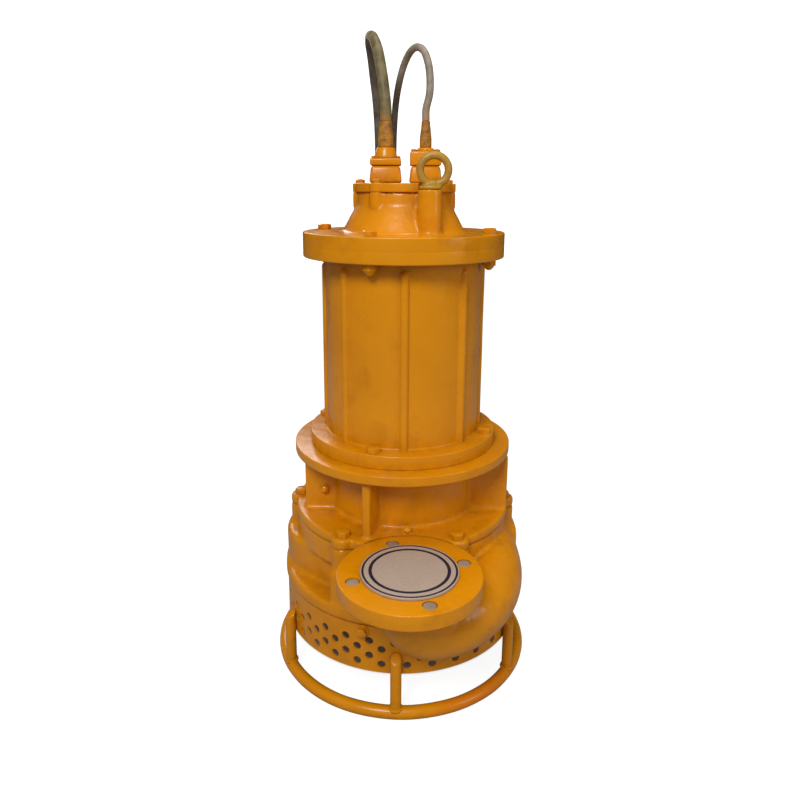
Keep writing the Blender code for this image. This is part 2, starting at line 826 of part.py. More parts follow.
def make_bearing(label, z, size, bore):
    """Outer ring, inner ring and caged balls of one deep groove bearing."""
    outer, width = size
    middle = (outer + bore) / 2
    race = (outer - bore) * 0.27
    lip = race * 0.62
    outer_ring = turned(
        f"{label}_bearing_outer_ring",
        [
            (outer, z + width),
            (outer, z),
            (middle + lip, z),
            (middle + lip, z + width * 0.25),
            (middle + race, z + width * 0.5),
            (middle + lip, z + width * 0.75),
            (middle + lip, z + width),
        ],
        INNER_ROUND,
    )
    inner_ring = turned(
        f"{label}_bearing_inner_ring",
        [
            (middle - lip, z + width),
            (middle - lip, z + width * 0.75),
            (middle - race, z + width * 0.5),
            (middle - lip, z + width * 0.25),
            (middle - lip, z),
            (bore + FIT, z),
            (bore + FIT, z + width),
        ],
        INNER_ROUND,
    )
    flank = width * 0.25
    facet_loss = (middle + race) * (1 - cos(pi / INNER_ROUND))
    ball = race * flank / math.hypot(flank, race - lip) - facet_loss - FIT
    cage = ring(
        f"{label}_bearing_balls",
        middle + ball * 0.35,
        middle - ball * 0.35,
        z + width * 0.5 - ball * 0.5,
        z + width * 0.5 + ball * 0.5,
        BALLS * 2,
    )
    for number, angle in enumerate(pattern(BALLS, 0)):

        def build(shape):
            bmesh.ops.create_icosphere(shape, subdivisions=1, radius=ball)

        centre = around(middle, angle, z + width / 2)
        join(cage, add(f"{label}_ball_{number}", mesh_from(build, "ball"), centre))
    for piece in (outer_ring, inner_ring, cage):
        finish(piece, STEEL)


# Seal housing


def casing_bolt_seat():
    return SEAL_Z + SEAL_FLANGE_THICKNESS + LUG_PAD - SPOT_FACE


def make_seal_housing():
    low, top = SEAL_Z, SEAL_TOP_Z
    flange_top = low + SEAL_FLANGE_THICKNESS
    housing = solid_turned(
        "seal_housing",
        [
            (0, flange_top),
            (SEAL_FLANGE_RADIUS, flange_top),
            (SEAL_FLANGE_RADIUS, low),
            (SPIGOT_RADIUS, low),
            (SPIGOT_RADIUS, low - SPIGOT_DEPTH),
            (0, low - SPIGOT_DEPTH),
        ],
    )
    join(housing, cylinder("seal_neck", NECK_RADIUS, flange_top - 0.004, top, ROUND))
    blocks = [("seal_rib", NECK_RIB_ANGLE, NECK_RIB_REACH, NECK_RIB_WIDTH)]
    for i, (angle, reach) in enumerate(NECK_PADS):
        blocks.append((f"seal_pad_{i}", angle, reach, NECK_PAD_WIDTH))
    inside = NECK_RADIUS * 0.85
    for name, angle, reach, width in blocks:
        middle = around((reach + inside) / 2, angle, flange_top - 0.002)
        join(housing, box(name, (reach - inside, width, top - flange_top + 0.002), middle, turn=angle))
    for i, angle in enumerate(pattern(LUG_COUNT, LUG_START)):
        place = around(LUG_CIRCLE, angle)
        join(housing, cylinder(f"seal_lug_{i}", LUG_RADIUS, low, flange_top + LUG_PAD, 12, place))
    room = solid_turned(
        "oil_room",
        [
            (0, top + 0.01),
            (NECK_RADIUS - NECK_WALL, top + 0.01),
            (NECK_RADIUS - NECK_WALL, low + SEAL_FLOOR),
            (SEAL_BORE + FIT, low + SEAL_FLOOR),
            (SEAL_BORE + FIT, low - 0.0015),
            (SHAFT_SEAL_RADIUS + 0.003, low - 0.0015),
            (SHAFT_SEAL_RADIUS + 0.003, low - 0.02),
            (0, low - 0.02),
        ],
        24,
    )
    scallop = cylinder(
        "flange_room",
        FLANGE_DIAMETER / 2 + FLANGE_ROOM,
        low - 0.01,
        flange_top + 0.01,
        ROUND,
        (DISCHARGE_X, DISCHARGE_Y),
    )
    cut(housing, room, scallop)
    seat = casing_bolt_seat()
    bore = bore_for(CASING_BOLT / 2, 8)
    for i, angle in enumerate(pattern(LUG_COUNT, LUG_START)):
        steps = [(SPOT_RADIUS, seat + SPOT_ROOM), (SPOT_RADIUS, seat), (bore, seat), (bore, low - 0.01)]
        hole = solid_turned(
            f"lug_hole_{i}",
            [(0, steps[0][1]), *steps, (0, steps[-1][1])],
            8,
            (*around(LUG_CIRCLE, angle), 0),
        )
        cut(housing, hole)
    return finish(housing, ENAMEL)


def make_seals():
    """Two mechanical seals, each a fixed seat and a turning ring, face to face in the oil."""
    low = SEAL_Z
    seat_in = SHAFT_SEAL_RADIUS + 0.0025
    ring_in = SHAFT_SEAL_RADIUS + FIT
    ring_out = SEAL_BORE - 0.004
    floor_top = low + SEAL_FLOOR
    finish(ring("lower_seal_seat", SEAL_BORE, seat_in, low, floor_top - 0.008), CARBIDE)
    finish(ring("lower_seal_ring", ring_out, ring_in, floor_top - 0.008 + FIT, floor_top + 0.018), CARBIDE)
    plate = PLATE_Z
    finish(ring("upper_seal_seat", SEAL_BORE, seat_in, plate - 0.004, plate + 0.006), CARBIDE)
    finish(ring("upper_seal_ring", ring_out, ring_in, plate - 0.026, plate - 0.004 - FIT), CARBIDE)


# Motor


def make_plate():
    outer, width = LOWER_BEARING
    seat = lower_bearing_z()
    plate = turned(
        "bearing_bracket",
        [
            (outer + 0.010, seat + width + 0.002),
            (outer + 0.010, PLATE_TOP_Z),
            (PLATE_RADIUS, PLATE_TOP_Z),
            (PLATE_RADIUS, PLATE_Z),
            (SEAL_BORE + FIT, PLATE_Z),
            (SEAL_BORE + FIT, seat - FIT),
            (outer + FIT, seat - FIT),
            (outer + FIT, seat + width + 0.002),
        ],
    )
    bore = bore_for(MOTOR_BOLT / 2, 8)
    low, high = PLATE_TOP_Z - 0.010, PLATE_TOP_Z + 0.01
    holes = [
        cylinder(f"plate_hole_{i}", bore, low, high, 8, place)
        for i, place in enumerate(bolt_places(FOOT_BOLT_CIRCLE, FOOT_BOLT_START))
    ]
    cut(plate, merged("plate_holes", holes))
    return finish(plate, ENAMEL)


def bolt_places(radius, start):
    return [around(radius, angle) for angle in pattern(MOTOR_BOLT_COUNT, start)]


def make_motor_housing():
    low, top = MOTOR_Z, MOTOR_TOP_Z
    flange_top = low + MOTOR_FLANGE_THICKNESS
    seat = top - TOP_FLANGE_THICKNESS
    housing = turned(
        "motor_housing",
        [
            (TOP_FLANGE_RADIUS, top),
            (TOP_FLANGE_RADIUS, seat),
            (MOTOR_RADIUS, seat),
            (MOTOR_RADIUS, flange_top),
            (MOTOR_FLANGE_RADIUS, flange_top),
            (MOTOR_FLANGE_RADIUS, low),
            (MOTOR_BORE, low),
            (MOTOR_BORE, top),
        ],
    )
    for i, angle in enumerate(pattern(MOTOR_RIBS, MOTOR_RIB_START)):
        place = around(MOTOR_RADIUS - 0.0005, angle)
        rib = solid_turned(
            f"motor_rib_{i}",
            [
                (0, seat - 0.010),
                (MOTOR_RIB_RADIUS, seat - 0.0165),
                (MOTOR_RIB_RADIUS, flange_top - 0.002),
                (0, flange_top - 0.002),
            ],
            10,
            (*place, 0),
        )
        join(housing, rib)
    holes = [
        cylinder(f"top_hole_{i}", bore_for(MOTOR_BOLT / 2, 8), seat - 0.01, top + 0.01, 8, place)
        for i, place in enumerate(bolt_places(TOP_BOLT_CIRCLE, TOP_BOLT_START))
    ] + [
        cylinder(f"foot_hole_{i}", bore_for(MOTOR_BOLT / 2, 8), low - 0.01, flange_top + 0.01, 8, place)
        for i, place in enumerate(bolt_places(FOOT_BOLT_CIRCLE, FOOT_BOLT_START))
    ]
    cut(housing, merged("motor_holes", holes))
    return finish(housing, ENAMEL)


def make_stator():
    low, top = stator_z()
    outer = MOTOR_BORE - FIT
    finish(ring("stator_core", outer, STATOR_INNER, low, top, ROUND), CORE)
    end_out, end_in = outer - 0.006, STATOR_INNER + 0.004
    for label, first, last in (
        ("lower_winding", low - FIT - WINDING_OVERHANG, low - FIT),
        ("upper_winding", top + FIT, top + FIT + WINDING_OVERHANG),
    ):
        edge = 0.008
        end = first if label == "lower_winding" else last
        inner = last if label == "lower_winding" else first
        side = 1 if end < inner else -1
        outline = [
            (end_out, inner),
            (end_out, end + side * edge),
            (end_out - edge, end),
            (end_in + edge, end),
            (end_in, end + side * edge),
            (end_in, inner),
        ]
        if side == -1:
            outline = outline[::-1]
        finish(turned(label, outline, INNER_ROUND), COPPER)


def make_rotor_core():
    low, top = stator_z()
    radius = STATOR_INNER - AIR_GAP
    bore = SHAFT_CORE_RADIUS + FIT
    end_ring = 0.014
    ring_in = bore + (radius - bore) * 0.4
    rotor = turned(
        "rotor_core",
        [
            (radius - 0.008, top + end_ring),
            (radius - 0.008, top),
            (radius, top),
            (radius, low),
            (radius - 0.008, low),
            (radius - 0.008, low - end_ring),
            (ring_in, low - end_ring),
            (bore, low),
            (bore, top),
            (ring_in, top + end_ring),
        ],
        20,
    )
    return finish(rotor, CORE)


# Upper cover, lid and eye bolt


def lobe_places():
    return [around(LID_LOBE_CIRCLE, angle) for angle in pattern(4, LID_LOBE_START)]


def make_upper_cover():
    low, flange_top, top = COVER_Z, COVER_FLANGE_Z, CONE_TOP_Z
    outer, width = UPPER_BEARING
    cover = solid_turned(
        "upper_cover",
        [
            (0, top),
            (CONE_TOP - 0.002, top),
            (CONE_TOP, top - 0.018),
            (CONE_BASE, flange_top),
            (TOP_FLANGE_RADIUS, flange_top),
            (TOP_FLANGE_RADIUS, low),
            (outer + 0.009, low),
            (outer + 0.009, low - width - 0.004),
            (0, low - width - 0.004),
        ],
    )
    boss_at = (EYE_X + EYE_BOSS_OFFSET, EYE_Y)
    boss = cylinder("eye_boss", EYE_BOSS_RADIUS, flange_top - 0.002, eye_seat_z(), 16, boss_at)
    join(cover, boss)
    for i, place in enumerate(lobe_places()):
        join(cover, cylinder(f"lid_boss_{i}", LID_LOBE_RADIUS, top - 0.022, top, 10, place))
    chamber = solid_turned(
        "terminal_chamber",
        [
            (0, top + 0.01),
            (CONE_TOP - CONE_WALL - 0.006, top + 0.01),
            (CONE_TOP - CONE_WALL - 0.006, top - 0.02),
            (CONE_BASE - CONE_WALL - 0.006, low + CHAMBER_FLOOR_THICKNESS),
            (0, low + CHAMBER_FLOOR_THICKNESS),
        ],
        20,
    )
    seat = solid_turned(
        "upper_bearing_seat",
        [
            (0, low),
            (outer + FIT, low),
            (outer + FIT, low - width - 0.02),
            (0, low - width - 0.02),
        ],
        INNER_ROUND,
    )
    lead_hole = cylinder("lead_hole", 0.009, low - 0.01, low + 0.03, 10, (0, 0.056))
    shank = bore_for(EYE_SHANK / 2, 8)
    seat_z = eye_seat_z()
    shank_hole = cylinder("eye_shank_hole", shank, seat_z - 0.020, seat_z + 0.01, 8, (EYE_X, EYE_Y))
    cut(cover, chamber, seat, lead_hole, shank_hole)
    holes = [
        cylinder(f"cover_hole_{i}", bore_for(MOTOR_BOLT / 2, 8), low - 0.01, flange_top + 0.01, 8, place)
        for i, place in enumerate(bolt_places(TOP_BOLT_CIRCLE, TOP_BOLT_START))
    ]
    cut(cover, merged("cover_holes", holes))
    return finish(cover, ENAMEL)


def eye_seat_z():
    return CONE_TOP_Z + 0.004


def make_lid():
    low, top = LID_Z, LID_TOP_Z
    lid = solid_turned(
        "terminal_lid",
        [(0, top), (LID_RADIUS, top), (LID_RADIUS, low), (0, low)],
        ROUND,
    )
    for i, place in enumerate(lobe_places()):
        join(lid, cylinder(f"lid_lobe_{i}", LID_LOBE_RADIUS, low, top, 10, place))
    boss_room = cylinder(
        "boss_room", EYE_BOSS_RADIUS + 0.0015, low - 0.01, top + 0.01, 16, (EYE_X + EYE_BOSS_OFFSET, EYE_Y)
    )
    cut(lid, boss_room)
    return finish(lid, ENAMEL)


def make_eye_bolt():
    seat = eye_seat_z() + FIT
    outer = EYE_RING_RADIUS + EYE_SECTION / 2
    centre = seat + EYE_COLLAR + outer - 0.0025
    eye = solid_turned(
        "eye_bolt",
        [
            (0, seat + EYE_COLLAR),
            (EYE_COLLAR_RADIUS * 0.6, seat + EYE_COLLAR),
            (EYE_COLLAR_RADIUS, seat + EYE_COLLAR - 0.003),
            (EYE_COLLAR_RADIUS, seat),
            (EYE_SHANK / 2, seat),
            (EYE_SHANK / 2, seat - 0.018),
            (0, seat - 0.018),
        ],
        16,
        (EYE_X, EYE_Y, 0),
    )
    section_points = []
    for i in range(6):
        angle = -tau * i / 6 + pi / 2
        section_points.append(
            (EYE_RING_RADIUS + EYE_SECTION / 2 * cos(angle), EYE_SECTION / 2 * sin(angle))
        )
    hoop = turned("eye_ring", section_points, 18, (EYE_X, EYE_Y, centre))
    hoop.rotation_euler.x = pi / 2
    join(eye, hoop)
    return finish(eye, OCHRE)


# Glands


def make_gland(side, x, cable):
    size = (*TOWER_BASE, TOWER_HEIGHT)
    tower = box(f"{side}_gland_body", size, (x, 0, TOWER_Z), top=TOWER_TOP, bevel=0.004)
    finish(tower, ENAMEL)
    plate = box(f"{side}_gland_plate", GLAND_PLATE, (x, 0, GLAND_PLATE_Z), bevel=0.005)
    finish(plate, ENAMEL)
    low, high = CLAMP_RADII
    if cable < LEFT_CABLE:
        low, high = 0.013, 0.0115
    clamp = cylinder(f"{side}_cable_clamp", low, CLAMP_Z, CLAMP_Z + CLAMP_HEIGHT, 16, (x, 0), high)
    finish(clamp, ENAMEL)
    thick, thin = cable / 2 + 0.0032, cable / 2 + 0.0008
    sleeve = solid_turned(
        f"{side}_cable_sleeve",
        [
            (0, SLEEVE_Z + SLEEVE_HEIGHT),
            (thin, SLEEVE_Z + SLEEVE_HEIGHT),
            (thick, SLEEVE_Z + SLEEVE_HEIGHT * 0.3),
            (thick, SLEEVE_Z),
            (0, SLEEVE_Z),
        ],
        14,
        (x, 0, 0),
    )
    finish(sleeve, ENAMEL)


def make_terminal_block():
    floor = COVER_Z + CHAMBER_FLOOR_THICKNESS + FIT
    block = box("terminal_block", (0.056, 0.026, 0.016), (0, -0.012, floor))
    for i in range(6):
        place = (-0.0175 + 0.0175 * (i % 3), -0.0175 + 0.011 * (i // 3))
        join(block, cylinder(f"terminal_{i}", 0.003, floor + 0.01, floor + 0.026, 6, place))
    return finish(block, PLASTIC)


# Bolts


def hex_bolt(name, place, under_head, length, thread, head=0.0075, nut=0.0):
    """A hexagon bolt standing on under_head, with a domed nut on its other end where nut is given."""
    across = thread * 0.866
    outline = [
        (0, under_head + head),
        (across * 0.85, under_head + head),
        (across, under_head + head - 0.0012),
        (across, under_head),
        (thread / 2, under_head),
        (thread / 2, under_head - length),
    ]
    if nut:
        low = under_head - length
        outline += [(thread * 0.78, low), (thread * 0.78, low - nut * 0.6), (thread * 0.4, low - nut)]
        outline.append((0, low - nut))
    else:
        outline.append((0, under_head - length))
    made = solid_turned(name, outline, 6, (*place, 0))
    return finish(made, ENAMEL)


def make_bolts():
    for i, place in enumerate(bolt_places(TOP_BOLT_CIRCLE, TOP_BOLT_START)):
        grip = COVER_FLANGE + TOP_FLANGE_THICKNESS + 3 * FIT
        hex_bolt(f"top_flange_bolt_{i + 1}", place, COVER_FLANGE_Z + FIT, grip, MOTOR_BOLT, nut=0.016)
    for i, place in enumerate(bolt_places(FOOT_BOLT_CIRCLE, FOOT_BOLT_START)):
        under = MOTOR_Z + MOTOR_FLANGE_THICKNESS + FIT
        hex_bolt(f"motor_foot_bolt_{i + 1}", place, under, MOTOR_FLANGE_THICKNESS + 0.008, MOTOR_BOLT)
    for i, angle in enumerate(pattern(LUG_COUNT, LUG_START)):
        under = casing_bolt_seat() + FIT
        length = SEAL_FLANGE_THICKNESS + 0.018
        hex_bolt(f"casing_bolt_{i + 1}", around(LUG_CIRCLE, angle), under, length, CASING_BOLT)


# Cables

# Points that each cable passes through, from its sleeve over the top and down behind the pump,
# measured from the shaft axis at floor level
LEFT_ROUTE = [
    (LEFT_GLAND_X, 0.0, CABLE_Z),
    (LEFT_GLAND_X, 0.0, 0.854),
    (-0.0290, 0.003, 0.875),
    (-0.0330, 0.010, 0.903),
    (-0.0390, 0.025, 0.934),
    (-0.0460, 0.047, 0.957),
    (-0.0520, 0.074, 0.967),
    (-0.0540, 0.101, 0.962),
    (-0.0520, 0.125, 0.944),
    (-0.0490, 0.142, 0.915),
    (-0.0450, 0.153, 0.880),
    (-0.0420, 0.160, 0.830),
    (-0.0410, 0.163, 0.760),
    (-0.0410, 0.165, 0.680),
    (-0.0420, 0.169, 0.580),
    (-0.0450, 0.176, 0.470),
    (-0.0500, 0.187, 0.370),
    (-0.0550, 0.200, 0.270),
    (-0.0600, 0.216, 0.170),
    (-0.0700, 0.234, 0.092),
    (-0.0860, 0.257, 0.041),
    (-0.1050, 0.285, 0.014),
    (-0.1240, 0.316, 0.0085),
    (-0.1360, 0.352, 0.0085),
    (-0.1375, 0.389, 0.0085),
    (-0.1300, 0.425, 0.0085),
]
RIGHT_ROUTE = [
    (RIGHT_GLAND_X, 0.0, CABLE_Z),
    (RIGHT_GLAND_X, 0.0, 0.852),
    (0.0358, 0.001, 0.873),
    (0.0362, 0.004, 0.895),
    (0.0335, 0.013, 0.917),
    (0.0270, 0.028, 0.936),
    (0.0170, 0.046, 0.944),
    (0.0070, 0.064, 0.939),
    (-0.0020, 0.082, 0.923),
    (-0.0090, 0.099, 0.900),
    (-0.0140, 0.115, 0.872),
    (-0.0170, 0.130, 0.835),
    (-0.0180, 0.143, 0.790),
    (-0.0170, 0.152, 0.740),
    (-0.0150, 0.158, 0.680),
    (-0.0100, 0.162, 0.580),
    (-0.0020, 0.169, 0.470),
    (0.0080, 0.181, 0.370),
    (0.0200, 0.195, 0.300),
    (0.0380, 0.213, 0.235),
    (0.0620, 0.237, 0.175),
    (0.0880, 0.268, 0.125),
    (0.1100, 0.305, 0.092),
    (0.1230, 0.345, 0.0755),
    (0.1270, 0.383, 0.0705),
    (0.1225, 0.420, 0.0701),
]


def smooth_route(route, spacing):
    """Evenly spaced points of a Catmull-Rom curve through the route's own points."""
    points = [Vector(p) for p in route]
    points = [points[0] - (points[1] - points[0])] + points + [points[-1] * 2 - points[-2]]
    fine = []
    for a, b, c, d in zip(points, points[1:], points[2:], points[3:]):
        for i in range(12):
            t = i / 12
            square, cube = 2 * a - 5 * b + 4 * c - d, 3 * b - a - 3 * c + d
            fine.append(b + ((c - a) * t + square * t**2 + cube * t**3) / 2)
    fine.append(points[-2])
    length = sum((b - a).length for a, b in zip(fine, fine[1:]))
    count = max(2, round(length / spacing))
    wanted, out, travelled = length / count, [fine[0]], 0.0
    for a, b in zip(fine, fine[1:]):
        run = (b - a).length
        while travelled + run >= wanted * len(out) and len(out) < count:
            out.append(a.lerp(b, (wanted * len(out) - travelled) / run))
        travelled += run
    out.append(fine[-1])
    return out


def make_cable(name, route, diameter):
    cable = tube(name, smooth_route(route, diameter * 2.9), diameter)
    cable.data.materials.append(paint(name + "_rubber", *RUBBER[1:]))
    return cable


def make_coil(name, route, diameter, turns, base, side):
    """The outer shape of a coiled cable, lying flat beside the last point of the cable's route."""
    wide, layers, mean = turns
    half = diameter * wide / 2
    top = base + diameter * layers
    edge = diameter * COIL_EDGE
    beside = mean + half + diameter / 2 * cos(COIL_ENTRY) + FIT
    coil = turned(
        name,
        [
            (mean + half - edge, top),
            (mean + half, top - edge),
            (mean + half, base + edge),
            (mean + half - edge, base),
            (mean - half + edge, base),
            (mean - half, base + edge),
            (mean - half, top - edge),
            (mean - half + edge, top),
        ],
        INNER_ROUND,
        (route[-1][0] + side * beside, route[-1][1], 0),
    )
    finish(coil, RUBBER)
    return top


def build_all():
    make_stand()
    elbow_room = passage("elbow_room", DISCHARGE_WALL + 0.002, 7, FLANGE_Z)
    make_strainer(elbow_room)
    make_casing()
    make_suction_cover()
    make_discharge_cover()
    make_impeller()
    agitator_low = make_agitator()
    make_nut(agitator_low)
    make_shaft(agitator_low)
    make_bearing("lower", lower_bearing_z(), LOWER_BEARING, SHAFT_BEARING_RADIUS)
    make_bearing("upper", upper_bearing_z(), UPPER_BEARING, SHAFT_TOP_RADIUS)
    make_seal_housing()
    make_seals()
    make_plate()
    make_motor_housing()
    make_stator()
    make_rotor_core()
    make_upper_cover()
    make_lid()
    make_eye_bolt()
    make_gland("left", LEFT_GLAND_X, LEFT_CABLE)
    make_gland("right", RIGHT_GLAND_X, RIGHT_CABLE)
    make_terminal_block()
    make_bolts()
    make_cable("left_cable", LEFT_ROUTE, LEFT_CABLE)
    make_cable("right_cable", RIGHT_ROUTE, RIGHT_CABLE)
    pile = make_coil("left_cable_coil", LEFT_ROUTE, LEFT_CABLE, LEFT_TURNS, 0, 1)
    make_coil("right_cable_coil", RIGHT_ROUTE, RIGHT_CABLE, RIGHT_TURNS, pile + FIT, -1)


build_all()
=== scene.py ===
import json
import math
from math import cos, pi, radians, sin, tau

import bmesh
import bpy
from mathutils import Matrix, Vector, noise

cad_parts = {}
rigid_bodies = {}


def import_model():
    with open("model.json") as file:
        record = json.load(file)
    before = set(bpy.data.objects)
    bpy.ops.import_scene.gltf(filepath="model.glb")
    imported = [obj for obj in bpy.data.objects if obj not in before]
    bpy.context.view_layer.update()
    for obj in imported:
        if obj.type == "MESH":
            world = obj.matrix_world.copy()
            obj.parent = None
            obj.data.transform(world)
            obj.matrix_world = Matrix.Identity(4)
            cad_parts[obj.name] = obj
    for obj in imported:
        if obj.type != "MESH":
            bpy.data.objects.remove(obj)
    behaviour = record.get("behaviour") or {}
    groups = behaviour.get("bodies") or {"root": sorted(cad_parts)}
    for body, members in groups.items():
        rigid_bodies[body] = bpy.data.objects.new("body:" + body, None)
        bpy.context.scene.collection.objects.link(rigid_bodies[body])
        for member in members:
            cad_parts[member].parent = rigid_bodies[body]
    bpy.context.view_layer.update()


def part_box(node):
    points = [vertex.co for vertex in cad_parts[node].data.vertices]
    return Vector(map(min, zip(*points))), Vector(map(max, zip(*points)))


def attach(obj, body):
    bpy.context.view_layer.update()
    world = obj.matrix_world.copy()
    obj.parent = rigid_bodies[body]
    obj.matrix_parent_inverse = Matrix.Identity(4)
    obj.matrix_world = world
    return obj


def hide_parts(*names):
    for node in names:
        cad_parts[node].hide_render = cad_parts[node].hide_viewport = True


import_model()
print("frame loaded")

shaftLow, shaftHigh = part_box("shaft")
shaftY = (shaftLow.y + shaftHigh.y) / 2  # the shaft stands behind the middle of the plan


def height(node, side=1):
    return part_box(node)[side].z


# Camera, at the photograph's place

cameraView = {
    "place": (0.0, -1.0349, 0.7391),  # from the shaft, at floor level
    "pitch": 12.53,
    "yaw": -0.25,
    "roll": 0.34,
    "lens": 30.84,
    "shiftY": -0.0729,
}


def makeCamera():
    data = bpy.data.cameras.new("photoCamera")
    data.sensor_width = 36
    data.lens = cameraView["lens"]
    data.shift_y = cameraView["shiftY"]
    camera = bpy.data.objects.new("photoCamera", data)
    bpy.context.scene.collection.objects.link(camera)
    turn = (
        Matrix.Rotation(radians(-cameraView["yaw"]), 4, "Z")
        @ Matrix.Rotation(radians(90 - cameraView["pitch"]), 4, "X")
        @ Matrix.Rotation(radians(cameraView["roll"]), 4, "Z")
    )
    x, y, z = cameraView["place"]
    camera.matrix_world = Matrix.Translation((x, y + shaftY, z)) @ turn
    bpy.context.scene.camera = camera


makeCamera()


# Node tools for the materials


def blankMaterial(name):
    made = bpy.data.materials.new(name)
    made.use_nodes = True
    tree = made.node_tree
    return made, tree, tree.nodes["Principled BSDF"]


def put(tree, kind, inputs=None, **settings):
    made = tree.nodes.new(kind)
    for key, value in settings.items():
        setattr(made, key, value)
    for key, value in (inputs or {}).items():
        if isinstance(value, bpy.types.NodeSocket):
            tree.links.new(value, made.inputs[key])
        else:
            made.inputs[key].default_value = value
    return made


def objectCoords(tree, scale=(1, 1, 1)):
    coords = put(tree, "ShaderNodeTexCoord").outputs["Object"]
    return put(tree, "ShaderNodeMapping", {"Vector": coords, "Scale": scale}).outputs[0]


def grain(tree, coords, scale, detail, rough, distortion=0.0):
    inputs = {"Vector": coords, "Scale": scale, "Detail": detail, "Roughness": rough}
    inputs["Distortion"] = distortion
    return put(tree, "ShaderNodeTexNoise", inputs).outputs["Fac"]


def spread(tree, value, low, high, toLow=0.0, toHigh=1.0):
    inputs = {"Value": value, "From Min": low, "From Max": high, "To Min": toLow, "To Max": toHigh}
    return put(tree, "ShaderNodeMapRange", inputs, clamp=True).outputs[0]


def blendColour(tree, share, first, second):
    made = put(tree, "ShaderNodeMix", data_type="RGBA", blend_type="MIX")
    for socket, value in ((made.inputs[0], share), (made.inputs[6], first), (made.inputs[7], second)):
        if isinstance(value, bpy.types.NodeSocket):
            tree.links.new(value, socket)
        elif isinstance(value, (int, float)):
            socket.default_value = value
        else:
            socket.default_value = (*value, 1)
    return made.outputs[2]


def calc(tree, operation, first, second=0.0):
    made = put(tree, "ShaderNodeMath", operation=operation)
    for socket, value in zip(made.inputs, (first, second)):
        if isinstance(value, bpy.types.NodeSocket):
            tree.links.new(value, socket)
        else:
            socket.default_value = value
    return made.outputs[0]


def bump(tree, value, strength, distance, under=None):
    inputs = {"Height": value, "Strength": strength, "Distance": distance}
    if under is not None:
        inputs["Normal"] = under
    return put(tree, "ShaderNodeBump", inputs).outputs[0]


def connect(tree, shader, **sockets):
    for key, value in sockets.items():
        tree.links.new(value, shader.inputs[key.replace("_", " ")])


# Materials

paint = {
    "bright": (0.8, 0.3, 0.001),
    "middle": (0.7, 0.25, 0.0008),
    "deep": (0.46, 0.15, 0.0008),
    # dark brown for random flecks, and for the painted shade in corners
    "grimeAndShade": (0.12, 0.055, 0.006),
    "castGrain": 190,
    "peel": 34,
}


def makeEnamel(name, castDepth, runs, cornerShade, hot=None):
    made, tree, shader = blankMaterial(name)
    coords = objectCoords(tree)
    cloud = spread(tree, grain(tree, coords, 5.5, 5, 0.55, 0.3), 0.34, 0.66)
    colour = blendColour(tree, cloud, paint["middle"], paint["bright"])
    patch = spread(tree, grain(tree, coords, 17, 6, 0.6), 0.52, 0.76)
    colour = blendColour(tree, calc(tree, "MULTIPLY", patch, 0.55), colour, paint["deep"])
    # painted shade: ambient occlusion darkens corners and crevices toward the dark colour, mottled by noise
    corner = put(tree, "ShaderNodeAmbientOcclusion", {"Distance": 0.028}, samples=6).outputs["AO"]
    corner = spread(tree, corner, 0.35, 0.95, 1.0, 0.0)
    shadeMottle = spread(tree, grain(tree, coords, 70, 8, 0.7), 0.36, 0.7)
    paintedCornerShade = calc(tree, "MULTIPLY", calc(tree, "MULTIPLY", corner, shadeMottle), cornerShade)
    colour = blendColour(tree, paintedCornerShade, colour, paint["grimeAndShade"])
    fleck = spread(tree, grain(tree, coords, 420, 3, 0.6), 0.71, 0.78)
    colour = blendColour(tree, calc(tree, "MULTIPLY", fleck, 0.35), colour, paint["grimeAndShade"])
    if hot:
        way = put(tree, "ShaderNodeVectorMath", {0: coords, 1: hot}, operation="DISTANCE").outputs["Value"]
        glow = spread(tree, way, 0.03, 0.1, 0.75, 0.0)
        colour = blendColour(tree, glow, colour, (0.75, 0.19, 0.004))
    streaks = grain(tree, objectCoords(tree, (46, 46, 3.5)), 1.0, 3, 0.5)
    peel = grain(tree, coords, paint["peel"], 3, 0.45)
    cast = grain(tree, coords, paint["castGrain"], 5, 0.6)
    pits = put(tree, "ShaderNodeTexVoronoi", {"Vector": coords, "Scale": 260.0}).outputs["Distance"]
    normal = bump(tree, peel, 0.35, 0.0022)
    normal = bump(tree, streaks, runs, 0.0016, normal)
    normal = bump(tree, cast, castDepth, 0.0007, normal)
    normal = bump(tree, spread(tree, pits, 0.0, 0.22), castDepth * 0.35, 0.0004, normal)
    gloss = spread(tree, grain(tree, coords, 26, 4, 0.6), 0.3, 0.72, 0.2, 0.42)
    gloss = calc(tree, "ADD", gloss, calc(tree, "MULTIPLY", paintedCornerShade, 0.3))
    connect(tree, shader, Base_Color=colour, Roughness=gloss, Normal=normal)
    shader.inputs["Coat Weight"].default_value = 0.22
    shader.inputs["Coat Roughness"].default_value = 0.12
    shader.inputs["Specular IOR Level"].default_value = 0.28
    return made


def makeMetal(name, first, second, roughness, metallic, grainScale, brushed=(1, 1, 1), depth=0.25):
    made, tree, shader = blankMaterial(name)
    coords = objectCoords(tree, brushed)
    tone = spread(tree, grain(tree, coords, grainScale, 6, 0.65), 0.3, 0.7)
    stain = spread(tree, grain(tree, objectCoords(tree), 14, 5, 0.6), 0.45, 0.75)
    colour = blendColour(tree, tone, first, second)
    colour = blendColour(tree, calc(tree, "MULTIPLY", stain, 0.5), colour, [c * 0.45 for c in first])
    patches = grain(tree, coords, grainScale * 2, 4, 0.6)
    gloss = spread(tree, patches, 0.3, 0.7, roughness * 0.75, roughness * 1.3)
    connect(tree, shader, Base_Color=colour, Roughness=gloss)
    connect(tree, shader, Normal=bump(tree, tone, depth, 0.0004))
    shader.inputs["Metallic"].default_value = metallic
    return made


spray = {"low": 0.825, "high": 0.85, "behind": 0.075}  # where the paint on the cables ends


